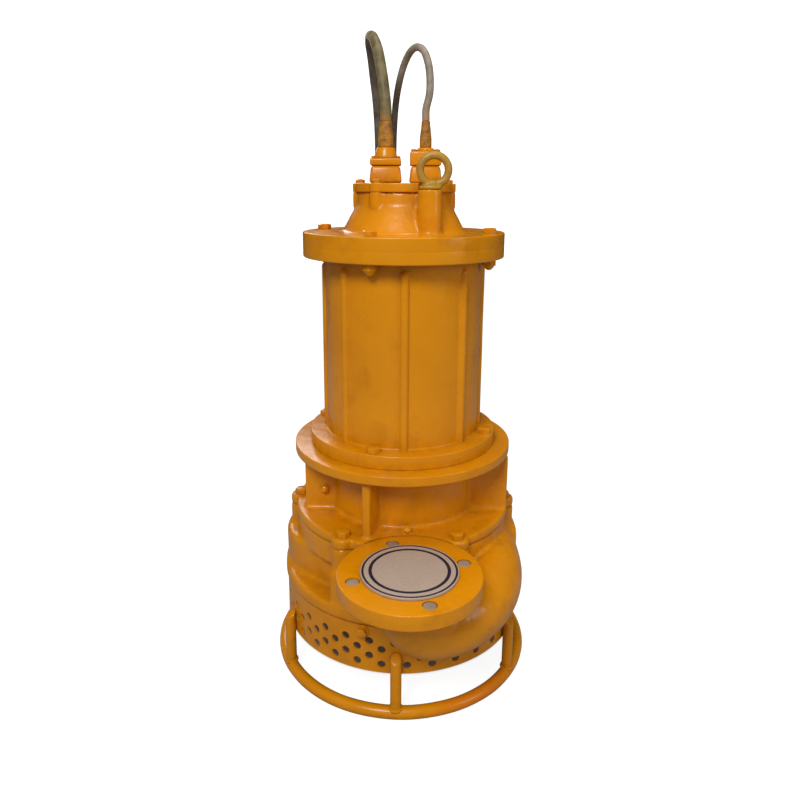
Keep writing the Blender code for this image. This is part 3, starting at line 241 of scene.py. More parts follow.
def makeSheath(name, first, second):
    made, tree, shader = blankMaterial(name)
    coords = objectCoords(tree)
    up = put(tree, "ShaderNodeSeparateXYZ", {"Vector": coords}).outputs["Z"]
    mottle = grain(tree, coords, 60, 6, 0.65)
    ragged = calc(tree, "ADD", up, calc(tree, "MULTIPLY", calc(tree, "SUBTRACT", mottle, 0.5), 0.09))
    overspray = spread(tree, ragged, spray["low"], spray["high"], 1.0, 0.0)
    # what is far behind the pump was never painted, and there the sheath gets painted shade, a darker copy of
    # its colour
    behind = put(tree, "ShaderNodeSeparateXYZ", {"Vector": coords}).outputs["Y"]
    limit = spray["behind"] + shaftY
    near = spread(tree, behind, limit, limit + 0.03, 1.0, 0.0)
    sheath = blendColour(tree, spread(tree, mottle, 0.35, 0.68), first, second)
    shadedSheath = blendColour(tree, spread(tree, mottle, 0.35, 0.68), (0.06, 0.05, 0.04), (0.16, 0.13, 0.09))
    sheath = blendColour(tree, near, shadedSheath, sheath)
    colour = blendColour(tree, calc(tree, "MULTIPLY", overspray, near), sheath, (0.55, 0.22, 0.008))
    scuff = spread(tree, grain(tree, coords, 230, 4, 0.7), 0.62, 0.75)
    colour = blendColour(tree, calc(tree, "MULTIPLY", scuff, 0.35), colour, (0.34, 0.31, 0.25))
    normal = bump(tree, mottle, 0.25, 0.0006)
    normal = bump(tree, grain(tree, coords, 500, 3, 0.6), 0.2, 0.0002, normal)
    rough = spread(tree, mottle, 0.3, 0.7, 0.45, 0.7)
    connect(tree, shader, Base_Color=colour, Roughness=rough, Normal=normal)
    return made


discPlace = Vector((0.0108, -0.2327 + shaftY, 0))  # middle of the discharge flange, in plan


def makeDiscFace(name):
    made, tree, shader = blankMaterial(name)
    coords = objectCoords(tree)
    flat = put(tree, "ShaderNodeVectorMath", {0: coords, 1: (1, 1, 0)}, operation="MULTIPLY").outputs[0]
    way = put(tree, "ShaderNodeVectorMath", {0: flat, 1: discPlace}, operation="DISTANCE").outputs["Value"]
    speck = grain(tree, coords, 240, 5, 0.7)
    colour = blendColour(tree, spread(tree, speck, 0.3, 0.7), (0.42, 0.325, 0.25), (0.53, 0.42, 0.33))
    shade = spread(tree, grain(tree, coords, 20, 4, 0.6), 0.35, 0.7)
    colour = blendColour(tree, calc(tree, "MULTIPLY", shade, 0.35), colour, (0.36, 0.28, 0.22))
    for radius, half in ((0.0612, 0.0013), (0.0513, 0.0021)):
        off = calc(tree, "ABSOLUTE", calc(tree, "SUBTRACT", way, radius))
        line = spread(tree, off, half, half + 0.0003, 1.0, 0.0)
        colour = blendColour(tree, line, colour, (0.012, 0.01, 0.03))
    connect(tree, shader, Base_Color=colour, Normal=bump(tree, speck, 0.12, 0.0002))
    connect(tree, shader, Roughness=spread(tree, speck, 0.3, 0.7, 0.42, 0.6))
    return made


looks = {
    "cast": makeEnamel("castEnamel", 0.55, 0.35, 0.75),
    "machined": makeEnamel("machinedEnamel", 0.22, 0.2, 0.6),
    "rolled": makeEnamel("rolledEnamel", 0.12, 0.4, 0.5),
    "lumpy": makeEnamel("lumpyEnamel", 0.8, 0.6, 0.8),
    "stand": makeEnamel("standEnamel", 0.3, 0.25, 0.5, hot=(0.112, -0.158 + shaftY, 0.01)),
    "iron": makeMetal("hardIron", (0.2, 0.19, 0.18), (0.34, 0.33, 0.31), 0.5, 0.85, 90, depth=0.5),
    "steel": makeMetal("turnedSteel", (0.5, 0.5, 0.51), (0.68, 0.68, 0.69), 0.28, 1.0, 60, (1, 1, 14)),
    "laminated": makeMetal("laminatedCore", (0.16, 0.16, 0.17), (0.3, 0.3, 0.32), 0.45, 0.8, 30, (1, 1, 60)),
    "copper": makeMetal("windingWire", (0.5, 0.19, 0.07), (0.66, 0.28, 0.12), 0.35, 0.9, 160, (1, 1, 3)),
    "sealFace": makeMetal("sealFace", (0.05, 0.05, 0.055), (0.1, 0.1, 0.11), 0.22, 0.2, 90),
    "ochre": makeMetal("ochrePaint", (0.4, 0.2, 0.018), (0.55, 0.3, 0.03), 0.42, 0.0, 120, depth=0.6),
    "putty": makeMetal("puttyPlastic", (0.3, 0.225, 0.165), (0.4, 0.31, 0.24), 0.5, 0.0, 120),
    "sleeve": makeMetal("sprayedRubber", (0.2, 0.08, 0.012), (0.78, 0.33, 0.01), 0.6, 0.0, 130, depth=1.0),
    "disc": makeDiscFace("discPlastic"),
    "leftSheath": makeSheath("leftSheath", (0.12, 0.093, 0.034), (0.27, 0.21, 0.09)),
    "rightSheath": makeSheath("rightSheath", (0.23, 0.185, 0.13), (0.4, 0.34, 0.27)),
}
print("materials made")


# Mesh tools. Shapes are made round the shaft, and move to its place when they are finished.


def newObject(name, mesh):
    made = bpy.data.objects.new(name, mesh)
    bpy.context.scene.collection.objects.link(made)
    return made


def toMesh(shape):
    mesh = bpy.data.meshes.new("shape")
    shape.normal_update()
    shape.to_mesh(mesh)
    shape.free()
    return mesh


def joinRings(rings, closed=False, caps=False):
    # rings of points joined by faces, where a ring of one point makes a tip
    shape = bmesh.new()
    made = [[shape.verts.new(point) for point in ring] for ring in rings]
    steps = max(len(ring) for ring in made)
    pairs = list(zip(made, made[1:]))
    if closed:
        pairs.append((made[-1], made[0]))
    for above, below in pairs:
        for i in range(steps):
            j = (i + 1) % steps
            corners = [ring[k % len(ring)] for ring, k in ((above, i), (above, j), (below, j), (below, i))]
            kept = list(dict.fromkeys(corners))
            if len(kept) > 2:
                shape.faces.new(kept)
    if caps:
        shape.faces.new(made[0][::-1])
        shape.faces.new(made[-1])
    bmesh.ops.recalc_face_normals(shape, faces=shape.faces)
    return shape


def lathe(profile, steps=128, centre=(0, 0)):
    x, y = centre
    turns = [tau * i / steps for i in range(steps)]
    rings = []
    for radius, z in profile:
        if radius < 1e-6:
            rings.append([(x, y, z)])
        else:
            rings.append([(x + radius * cos(a), y + radius * sin(a), z) for a in turns])
    return toMesh(joinRings(rings, len(rings[0]) > 1 and len(rings[-1]) > 1))


def softProfile(points, fillet, parts=3):
    made = []
    count = len(points)
    closed = points[0][0] > 0  # a profile that starts on the axis also ends there
    for i, point in enumerate(points):
        here = Vector(point[:2])
        own = point[2] if len(point) > 2 else fillet
        if not closed and i in (0, count - 1) or own <= 0:
            made.append(tuple(here))
            continue
        before = Vector(points[i - 1][:2])
        after = Vector(points[(i + 1) % count][:2])
        reach = min(own, (before - here).length * 0.45, (after - here).length * 0.45)
        first = here + (before - here).normalized() * reach
        last = here + (after - here).normalized() * reach
        for k in range(parts + 1):
            t = k / parts
            made.append(tuple(first * (1 - t) ** 2 + here * 2 * t * (1 - t) + last * t * t))
    return made


def turned(outline, fillet, parts=3, steps=128, centre=(0, 0)):
    return lathe(softProfile(outline, fillet, parts), steps, centre)


def block(size, at, turn=0.0, top=None, edge=0.0015, parts=2):
    shape = bmesh.new()
    bmesh.ops.create_cube(shape, size=1)
    for vertex in shape.verts:
        width, depth = (top or size[:2]) if vertex.co.z > 0 else size[:2]
        vertex.co = (vertex.co.x * width, vertex.co.y * depth, (vertex.co.z + 0.5) * size[2])
    bmesh.ops.bevel(shape, geom=shape.edges[:], offset=edge, segments=parts, profile=0.5, affect="EDGES")
    place = Matrix.Translation(at) @ Matrix.Rotation(turn, 4, "Z")
    bmesh.ops.transform(shape, matrix=place, verts=shape.verts)
    return toMesh(shape)


def gather(meshes):
    shape = bmesh.new()
    for mesh in meshes:
        shape.from_mesh(mesh)
    return toMesh(shape)


def applied(obj):
    bpy.context.view_layer.update()
    evaluated = obj.evaluated_get(bpy.context.evaluated_depsgraph_get())
    mesh = bpy.data.meshes.new_from_object(evaluated)
    obj.modifiers.clear()
    obj.data = mesh


def castSkin(meshes, voxel, relax, lump, flatten=None):
    # one casting out of shapes that overlap: fused, relaxed, levelled and given a lumpy skin
    body = newObject("skin", gather(meshes))
    fuse = body.modifiers.new("fuse", "REMESH")
    fuse.mode = "VOXEL"
    fuse.voxel_size = voxel
    applied(body)
    shape = bmesh.new()
    shape.from_mesh(body.data)
    axes = {"use_axis_x": True, "use_axis_y": True, "use_axis_z": True}
    for _ in range(relax):
        bmesh.ops.smooth_vert(shape, verts=shape.verts, factor=0.5, **axes)
    shape.normal_update()
    for vertex in shape.verts:
        if flatten:
            vertex.co = flatten(vertex.co)
        rise = noise.noise(vertex.co * 28) + 0.5 * noise.noise(vertex.co * 90)
        vertex.co += vertex.normal * rise * lump
    mesh = toMesh(shape)
    bpy.data.objects.remove(body)
    return mesh


def flattener(heights, reach):
    # levels the machined faces of a casting, inside this radius
    def flatten(point):
        for z in heights:
            if abs(point.z - z) < 0.0012 and point.xy.length < reach:
                point.z = z
        return point

    return flatten


def handIn(name, mesh, body, nodes):
    mesh.name = name
    made = newObject(name, mesh)
    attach(made, body)
    if nodes:
        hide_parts(*nodes)


def finished(name, mesh, look, node, body="pump", sharp=32):
    mesh.transform(Matrix.Translation((0, shaftY, 0)))
    mesh.materials.clear()
    mesh.materials.append(looks[look])
    mesh.shade_smooth()
    if sharp:
        mesh.set_sharp_from_angle(angle=radians(sharp))
    handIn(name, mesh, body, [node])


def around(radius, angle, z=0.0):
    return Vector((radius * cos(angle), radius * sin(angle), z))


def eased(share):
    share = min(1.0, max(0.0, share))
    return share * share * (3 - 2 * share)


def ringOf(count, start):
    return [radians(start) + tau * i / count for i in range(count)]


# Stamps: one small shape set at many places with Geometry Nodes


def stampTree(name):
    tree = bpy.data.node_groups.new(name, "GeometryNodeTree")
    tree.interface.new_socket("Geometry", in_out="INPUT", socket_type="NodeSocketGeometry")
    sockets = {"Geometry": None}
    for label, kind in (("Stamp", "Object"), ("Spin", "Float"), ("Finish", "Material")):
        made = tree.interface.new_socket(label, in_out="INPUT", socket_type="NodeSocket" + kind)
        sockets[label] = made.identifier
    tree.interface.new_socket("Geometry", in_out="OUTPUT", socket_type="NodeSocketGeometry")
    given = put(tree, "NodeGroupInput")
    facing = put(tree, "GeometryNodeInputNamedAttribute", {"Name": "facing"}, data_type="FLOAT_VECTOR")
    aim = put(tree, "FunctionNodeAlignEulerToVector", {"Vector": facing.outputs[0]}, axis="Z")
    chance = put(tree, "FunctionNodeRandomValue", {"Seed": 7}, data_type="FLOAT")
    tree.links.new(given.outputs["Spin"], chance.inputs[3])
    twist = put(tree, "ShaderNodeCombineXYZ", {"Z": chance.outputs[1]})
    turn = put(tree, "FunctionNodeRotateEuler", rotation_type="EULER", space="LOCAL")
    tree.links.new(aim.outputs[0], turn.inputs[0])
    tree.links.new(twist.outputs[0], turn.inputs[1])
    shown = put(tree, "GeometryNodeObjectInfo", {"Object": given.outputs["Stamp"]})
    points = put(tree, "GeometryNodeMeshToPoints", {"Mesh": given.outputs["Geometry"]}).outputs[0]
    wanted = {"Points": points, "Instance": shown.outputs["Geometry"], "Rotation": turn.outputs[0]}
    placed = put(tree, "GeometryNodeInstanceOnPoints", wanted)
    real = put(tree, "GeometryNodeRealizeInstances", {"Geometry": placed.outputs[0]}).outputs[0]
    wanted = {"Geometry": real, "Material": given.outputs["Finish"]}
    coated = put(tree, "GeometryNodeSetMaterial", wanted)
    out = put(tree, "NodeGroupOutput")
    tree.links.new(coated.outputs[0], out.inputs[0])
    return tree, sockets


stampNodes, stampSockets = stampTree("stampAtPlaces")


def stamped(name, stamp, places, nodes=(), look="machined", spin=1.0):
    spots = bpy.data.meshes.new(name + "Spots")
    spots.from_pydata([place for place, _ in places], [], [])
    facing = spots.attributes.new("facing", "FLOAT_VECTOR", "POINT")
    for item, (_, way) in zip(facing.data, places):
        item.vector = way
    stamp.shade_smooth()
    stamp.set_sharp_from_angle(angle=radians(32))
    die = newObject(name + "Die", stamp)
    holder = newObject(name, spots)
    step = holder.modifiers.new("stamp", "NODES")
    step.node_group = stampNodes
    step[stampSockets["Stamp"]] = die
    step[stampSockets["Spin"]] = spin
    step[stampSockets["Finish"]] = looks[look]
    applied(holder)
    mesh = holder.data
    for obj in (holder, die):
        bpy.data.objects.remove(obj)
    mesh.transform(Matrix.Translation((0, shaftY, 0)))
    handIn(name, mesh, "pump", nodes)


def hexHead(across, high, shank=0.0, washer=0.0, dome=0.0):
    corner = across / 2 / cos(pi / 6)
    profile = [(0, high), (across * 0.43, high), (corner, high - across * 0.06), (corner, 0), (0, 0)]
    if dome:
        profile = [(0, high + dome), (across * 0.2, high + dome * 0.85), (across * 0.38, high + dome * 0.3)]
        profile += [(across * 0.45, high), (corner, high - across * 0.05), (corner, 0), (0, 0)]
    steps = 24
    rings = []
    for radius, z in profile:
        ring = []
        for i in range(steps):
            a = tau * i / steps
            flat = (a % (pi / 3)) - pi / 6
            reach = min(radius, across / 2 / cos(flat))
            ring.append((reach * cos(a), reach * sin(a), z))
        rings.append(ring if radius else ring[:1])
    parts = [toMesh(joinRings(rings))]
    if washer:
        inner, thick = 0.003, 0.0015
        outline = [(washer, 0.0), (washer, -thick), (inner, -thick), (inner, 0.0)]
        parts.append(turned(outline, 0.0004, steps=32))
    if shank:
        parts.append(lathe([(0, 0.0005), (shank, 0.0005), (shank, -0.03), (0, -0.03)], 16))
    return gather(parts)


up = (0, 0, 1)
down = (0, 0, -1)


# Cables

cables = {
    "left": {
        "diameter": 0.016,
        "gland": -0.0268,
        "start": 0.8359,  # height of the gland's mouth
        "wide": 3,  # width of the CAD ring, in cable diameters
        "columns": 4,  # places that the turns use, counted inward
        "mean": 0.112,  # mean radius of the coil
        "base": 0.0,  # height of the floor or the coil under it
        "side": 1,  # which side of the cable's end the coil lies on
        "length": 10.0,
        "route": [
            (-0.0268, 0.0, 0.854), (-0.0290, 0.003, 0.875), (-0.0330, 0.010, 0.903),
            (-0.0390, 0.025, 0.934), (-0.0460, 0.047, 0.9555), (-0.0520, 0.074, 0.9642),
            (-0.0540, 0.101, 0.9597), (-0.0520, 0.125, 0.944), (-0.0490, 0.142, 0.915),
            (-0.0450, 0.153, 0.880), (-0.0420, 0.160, 0.830), (-0.0410, 0.163, 0.760),
            (-0.0410, 0.165, 0.680), (-0.0420, 0.169, 0.580), (-0.0450, 0.176, 0.470),
            (-0.0500, 0.187, 0.370), (-0.0550, 0.200, 0.270), (-0.0600, 0.216, 0.170),
            (-0.0700, 0.234, 0.092), (-0.0860, 0.257, 0.041), (-0.1050, 0.285, 0.014),
            (-0.1240, 0.316, 0.0085), (-0.1360, 0.352, 0.0085), (-0.1375, 0.389, 0.0085),
            (-0.1300, 0.425, 0.0085),
        ],
    },
    "right": {
        "diameter": 0.011,
        "gland": 0.031,
        "start": 0.8359,
        "wide": 4,
        "columns": 5,
        "mean": 0.080,
        "base": 0.0643,
        "side": -1,
        "length": 10.0,
        "route": [
            (0.031, 0.0, 0.852), (0.0358, 0.001, 0.873), (0.0362, 0.004, 0.895), (0.0335, 0.013, 0.917),
            (0.0270, 0.028, 0.936), (0.0170, 0.046, 0.944), (0.0070, 0.064, 0.939),
            (-0.0020, 0.082, 0.923), (-0.0090, 0.099, 0.900), (-0.0140, 0.115, 0.872),
            (-0.0170, 0.130, 0.835), (-0.0180, 0.143, 0.790), (-0.0170, 0.152, 0.740),
            (-0.0150, 0.158, 0.680), (-0.0100, 0.162, 0.580), (-0.0020, 0.169, 0.470),
            (0.0080, 0.181, 0.370), (0.0200, 0.195, 0.300), (0.0380, 0.213, 0.235),
            (0.0620, 0.237, 0.175), (0.0880, 0.268, 0.125), (0.1100, 0.305, 0.092),
            (0.1230, 0.345, 0.0755), (0.1270, 0.383, 0.0705), (0.1225, 0.420, 0.0701),
        ],
    },
}


def flowing(points, parts):
    points = [Vector(p) for p in points]
    points = [points[0] * 2 - points[1]] + points + [points[-1] * 2 - points[-2]]
    fine = []
    for a, b, c, d in zip(points, points[1:], points[2:], points[3:]):
        for i in range(parts):
            t = i / parts
            square, cube = 2 * a - 5 * b + 4 * c - d, 3 * b - a - 3 * c + d
            fine.append((2 * b + (c - a) * t + square * t**2 + cube * t**3) / 2)
    fine.append(points[-2])
    return fine


def runLength(points):
    return sum((b - a).length for a, b in zip(points, points[1:]))


def coilPath(cable, entry, wanted):
    diameter = cable["diameter"]
    half = diameter * cable["wide"] / 2
    beside = cable["mean"] + half + diameter / 2 * cos(radians(20)) + 0.0003
    centre = Vector((entry.x + cable["side"] * beside, entry.y, 0))
    outermost = cable["mean"] + diameter * (cable["wide"] - 1) / 2
    columns = [outermost - diameter * k for k in range(cable["columns"])]
    side = -cable["side"]
    start = 0.0 if side == 1 else pi
    shift = 0.1  # share of a turn in which the cable moves to its next place
    path = []
    travelled = 0.0
    angle = 0.0
    step = tau / 28
    lead = radians(62)  # the way in, from the outside to the first turn
    while travelled < wanted:
        turn = max(0.0, (angle - lead) / tau)
        lap = int(turn)
        share = turn - lap
        layer, column = divmod(lap, len(columns))
        nextLayer, nextColumn = divmod(lap + 1, len(columns))
        inward = layer % 2 == 0
        here = columns[column if inward else -1 - column]
        there = columns[nextColumn if nextLayer % 2 == 0 else -1 - nextColumn]
        # upper layers make way first, so that no two turns cross
        begin = 0.82 - shift * (1 + 2 * layer + (nextLayer > layer))
        ease = eased((share - begin) / shift)
        radius = here + (there - here) * ease
        z = cable["base"] + diameter * (0.5 + layer + (nextLayer - layer) * ease)
        if angle < lead:
            slide = eased(angle / lead)
            outside = cable["mean"] + half + diameter / 2 + 0.0012
            radius = outside + (columns[0] - outside) * slide
            z = entry.z + (z - entry.z) * slide
        where = start + side * angle
        point = Vector((centre.x + radius * cos(where), centre.y + radius * sin(where), z))
        if path:
            travelled += (point - path[-1]).length
        path.append(point)
        angle += step
    return path


def makeCable(side):
    cable = cables[side]
    first = Vector((cable["gland"], 0, cable["start"]))
    free = flowing([first, *cable["route"]], 4)
    left = cable["length"] - runLength(free)
    path = free + coilPath(cable, free[-1], left)[1:]
    while runLength(path) > cable["length"]:
        over = runLength(path) - cable["length"]
        last = (path[-1] - path[-2]).length
        if last <= over:
            path.pop()
        else:
            path[-1] = path[-1].lerp(path[-2], over / last)
            break
    curve = bpy.data.curves.new(side + "SupplyCable", "CURVE")
    curve.dimensions = "3D"
    curve.bevel_depth = cable["diameter"] / 2
    curve.bevel_resolution = 3
    curve.use_fill_caps = True
    spline = curve.splines.new("POLY")
    spline.points.add(len(path) - 1)
    for point, where in zip(spline.points, path):
        point.co = (where.x, where.y + shaftY, where.z, 1)
    spline.use_smooth = True
    curve.materials.append(looks[side + "Sheath"])
    made = newObject(side + "SupplyCable", curve)
    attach(made, "pump")
    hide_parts(side + "_cable", side + "_cable_coil")
    print(side, "cable", round(runLength(path), 3), "m")


for side in cables:
    makeCable(side)


# Stage and light

studio = {
    "floor": 0.3,
    "white": 0.9,
    "world": 0.3,
    "mirrored": 0.02,
    # painted shadow on the floor under the pump: how far behind the shaft its middle lies, and the reach of
    # its fade
    "paintedShadowBehind": 0.1015,
    "paintedShadowReach": (0.198, 0.2055),
    "lamps": [
        ("keySoftbox", (-0.7, -2.3, 2.5), 1.1, 58, (1.0, 0.985, 0.96)),
        ("fillSoftbox", (2.1, -1.3, 1.2), 1.0, 9, (1.0, 0.99, 0.97)),
        ("topSoftbox", (0.2, 0.2, 2.9), 0.9, 16, (1.0, 1.0, 1.0)),
        ("rearSoftbox", (-0.9, 2.2, 1.6), 0.9, 9, (1.0, 1.0, 1.0)),
    ],
}


def makeStage():
    scene = bpy.context.scene
    scene.view_settings.view_transform = "Standard"
    world = bpy.data.worlds.new("studioWorld")
    scene.world = world
    world.use_nodes = True
    tree = world.node_tree
    tree.nodes.clear()
    rays = put(tree, "ShaderNodeLightPath")
    seen = calc(tree, "MAXIMUM", rays.outputs["Is Camera Ray"], rays.outputs["Is Transmission Ray"])
    mirror = calc(tree, "MULTIPLY", rays.outputs["Is Glossy Ray"], studio["mirrored"] - studio["world"])
    power = calc(tree, "ADD", calc(tree, "ADD", mirror, studio["world"]), seen)
    light = put(tree, "ShaderNodeBackground", {"Color": (1, 1, 1, 1), "Strength": power})
    out = put(tree, "ShaderNodeOutputWorld", {"Surface": light.outputs[0]})
    out.is_active_output = True

    shape = bmesh.new()
    bmesh.ops.create_grid(shape, x_segments=1, y_segments=1, size=6)
    floor = newObject("studioFloor", toMesh(shape))
    made, tree, shader = blankMaterial("paleFloor")
    rays = put(tree, "ShaderNodeLightPath")
    shade = put(tree, "ShaderNodeBsdfDiffuse", {"Color": (studio["floor"],) * 3 + (1,)})
    # the camera sees the lit floor lifted to white, but for a painted shadow under the middle of the pump,
    # where the lift fades out
    coords = put(tree, "ShaderNodeTexCoord").outputs["Object"]
    paintedShadowMiddle = (0, shaftY + studio["paintedShadowBehind"], 0)
    away = put(tree, "ShaderNodeVectorMath", {0: coords, 1: paintedShadowMiddle}, operation="DISTANCE").outputs["Value"]
    lift = spread(tree, away, *studio["paintedShadowReach"], 0.0, studio["white"])
    white = put(tree, "ShaderNodeEmission", {"Color": (1, 1, 1, 1), "Strength": lift})
    both = put(tree, "ShaderNodeAddShader")
    tree.links.new(shade.outputs[0], both.inputs[0])
    tree.links.new(white.outputs[0], both.inputs[1])
    choice = put(tree, "ShaderNodeMixShader", {"Fac": rays.outputs["Is Camera Ray"]})
    tree.links.new(shade.outputs[0], choice.inputs[1])
    tree.links.new(both.outputs[0], choice.inputs[2])
    target = tree.nodes["Material Output"]
    tree.links.new(choice.outputs[0], target.inputs["Surface"])
    tree.nodes.remove(shader)
    floor.data.materials.append(made)
    floor.location.z = -0.0005

    for name, place, size, power, colour in studio["lamps"]:
        data = bpy.data.lights.new(name, "AREA")
        data.shape = "DISK"
        data.size = size
        data.energy = power
        data.color = colour
        lamp = newObject(name, data)
        lamp.location = place
        lamp.rotation_euler = (Vector((0, 0, 0.4)) - Vector(place)).to_track_quat("-Z", "Y").to_euler()


makeStage()
print("cables, camera and light made")


# Stand

stand = {"ring": 0.1939, "tube": 0.0094, "leg": 0.008, "legs": 6, "start": -92, "top": 0.104}


def makeStand():
    steps, sides = 160, 20
    tube = stand["tube"]
    rings = []
    for i in range(steps):
        a = tau * i / steps
        sag = 0.0006 * noise.noise(Vector((cos(a), sin(a), 0)) * 2.2)
        ring = []
        for k in range(sides):
            b = tau * k / sides
            ring.append(around(stand["ring"] + tube * cos(b) - abs(sag), a, tube + 0.0001 + tube * sin(b)))
        rings.append(ring)
    meshes = [toMesh(joinRings(rings, True))]
    top, thick = stand["top"], stand["leg"]
    cutHigh = 0.02
    for a in ringOf(stand["legs"], stand["start"]):
        outline = [(0, top - 0.001), (thick, top - 0.001, 0.005), (thick, tube), (0, tube)]
        leg = turned(outline, 0.002, 4, 24)
        for vertex in leg.vertices:
            if vertex.co.z > top - cutHigh:
                share = (vertex.co.z - top + cutHigh) / cutHigh
                vertex.co.z -= max(0.0, vertex.co.x + thick) * 0.75 * share
        leg.transform(Matrix.Translation(around(stand["ring"], a)) @ Matrix.Rotation(a, 4, "Z"))
        meshes.append(leg)
    finished("weldedStand", gather(meshes), "stand", "base_stand")
    # weld beads where the legs meet the ring
    thick, sides = 0.0024, 8
    turns = [tau * i / sides for i in range(sides)]
    bead = lathe([(0.0082 + thick * cos(a), thick * sin(a)) for a in turns], 28)
    shape = bmesh.new()
    shape.from_mesh(bead)
    for vertex in shape.verts:
        vertex.co += vertex.co.normalized() * 0.0006 * noise.noise(vertex.co * 400)
    spots = [(around(stand["ring"], a, 0.0175), up) for a in ringOf(stand["legs"], stand["start"])]
    stamped("legWelds", toMesh(shape), spots, look="lumpy", spin=3.0)


makeStand()


# Strainer, from one perforated cell set in staggered columns

strainer = {
    "radius": 0.1856,
    "wall": 0.003,
    "low": height("strainer", 0),
    "top": height("strainer"),
    "columns": 64,
    "hole": 0.006,
    "pitch": 0.0117,
    "first": 0.0134,
}


def makeStrainer():
    s = strainer
    cell = s["pitch"] * 2
    girth = tau * s["radius"]
    width = girth / s["columns"]
    shape = bmesh.new()
    seen = {}

    def at(u, z, depth):
        u = u % girth if abs(u - girth) > 1e-6 else 0.0
        key = (round(u * 1e5), round(z * 1e5), depth)
        if key not in seen:
            seen[key] = shape.verts.new(around(s["radius"] - s["wall"] * depth, u / s["radius"], z))
        return seen[key]

    across, rise = 4, 6
    for column in range(s["columns"]):
        middle = width * (column + 0.5)
        left, right = middle - width / 2, middle + width / 2
        odd = column % 2
        for row in range(2):
            z = s["low"] + s["first"] + s["pitch"] * (2 * row + odd)
            under, over = z - cell / 2, z + cell / 2
            edge = [(right, under + cell * i / rise) for i in range(rise)]
            edge += [(right - width * i / across, over) for i in range(across)]
            edge += [(left, over - cell * i / rise) for i in range(rise)]
            edge += [(left + width * i / across, under) for i in range(across)]
            hole = []
            for u, v in edge:
                way = math.atan2((v - z) / cell, (u - middle) / width)
                hole.append((middle + s["hole"] * cos(way), z + s["hole"] * sin(way)))
            count = len(edge)
            for depth in (0, 1):
                outer = [at(u, v, depth) for u, v in edge]
                inner = [at(u, v, depth) for u, v in hole]
                for i in range(count):
                    j = (i + 1) % count
                    face = (outer[i], outer[j], inner[j], inner[i])
                    shape.faces.new(face if depth == 0 else face[::-1])
            for a, b in zip(hole, [*hole[1:], hole[0]]):
                corners = ((a, 0), (b, 0), (b, 1), (a, 1))
                shape.faces.new([at(u, v, depth) for (u, v), depth in corners])
        # plain bands above and below the holes
        holesLow = s["low"] + s["first"] + s["pitch"] * odd - cell / 2
        holesHigh = s["low"] + s["first"] + s["pitch"] * (2 + odd) + cell / 2
        for a, b in ((s["low"], holesLow), (holesHigh, s["top"])):
            cuts = [a, b]
            if b - a > cell / rise * 1.5:
                count = round((b - a) / (cell / rise))
                cuts = [a + (b - a) * i / count for i in range(count + 1)]
            for low, high in zip(cuts, cuts[1:]):
                for i in range(across):
                    u0 = left + width * i / across
                    u1 = u0 + width / across
                    for depth in (0, 1):
                        corners = ((u0, low), (u1, low), (u1, high), (u0, high))
                        face = [at(u, v, depth) for u, v in corners]
                        shape.faces.new(face if depth == 0 else face[::-1])
    bmesh.ops.remove_doubles(shape, verts=shape.verts, dist=0.0009)
    bmesh.ops.recalc_face_normals(shape, faces=shape.faces)
    out, inside = s["radius"], s["radius"] - s["wall"]
    low, rimTop = s["low"], s["low"] + 0.003
    rim = turned([(out, rimTop), (out, low), (inside, low), (inside, rimTop)], 0.0006, steps=192)
    top, under = s["top"], s["top"] - 0.004
    flange = turned([(out, top), (out, under), (0.1, under), (0.1, top)], 0.0006)
    finished("perforatedStrainer", gather([toMesh(shape), rim, flange]), "rolled", "strainer")


def makeStrainerScrews():
    z = strainer["top"] - 0.009
    head = hexHead(0.0135, 0.0065, washer=0.0098, dome=0.0015)
    angles = [radians(a) for a in (-107, -27, 60, 145)]
    spots = [(around(strainer["radius"] + 0.0016, a, z), around(1, a)) for a in angles]
    stamped("strainerScrews", head, spots)


makeStrainerScrews()
makeStrainer()
print("stand and strainer made")


# Heights of the castings, read from the CAD pieces

gap = 0.0003  # between neighbouring castings
levels = {
    "casing": height("strainer") + gap,
    "flange": height("volute_casing"),
    "sealTop": height("seal_housing"),
    "plate": height("bearing_bracket", 0),
    "motor": height("motor_housing", 0),
    "motorTop": height("motor_housing"),
    "lid": height("terminal_lid", 0),
    "lidTop": height("terminal_lid"),
}
levels["casingTop"] = levels["casing"] + 0.1027
levels["seal"] = levels["casingTop"] + gap
levels["cover"] = levels["motorTop"] + gap
levels["coneTop"] = levels["lid"] - gap


def cut(mesh, cutters):
    body = newObject("body", mesh)
    for cutter in cutters:
        tool = newObject("tool", cutter)
        step = body.modifiers.new("cut", "BOOLEAN")
        step.operation = "DIFFERENCE"
        step.solver = "MANIFOLD"
        step.object = tool
        applied(body)
        bpy.data.objects.remove(tool)
    result = body.data
    bpy.data.objects.remove(body)
    return result


def rod(radius, low, top, at=(0, 0), steps=48):
    return lathe([(0, top), (radius, top), (radius, low), (0, low)], steps, at)


# Volute casing with its branch

branch = {
    "bore": 0.040,
    "wall": 0.0065,
    "x": 0.0108,
    "y": -0.2327,
    "depth": 0.087,
    "bend": 0.050,
    "heading": radians(-154),
    "tongue": radians(-124),
    "start": (0.024, 0.017),
    "end": (0.044, 0.033),
    "heights": (0.0465, 0.0537),
    "chamber": 0.088,
    "lap": 0.004,
    "sides": 36,
    "dense": 5,
    "flange": 0.09525,
    "thick": 0.021,
    "boltCircle": 0.0762,
    "boltHole": 0.0095,
}


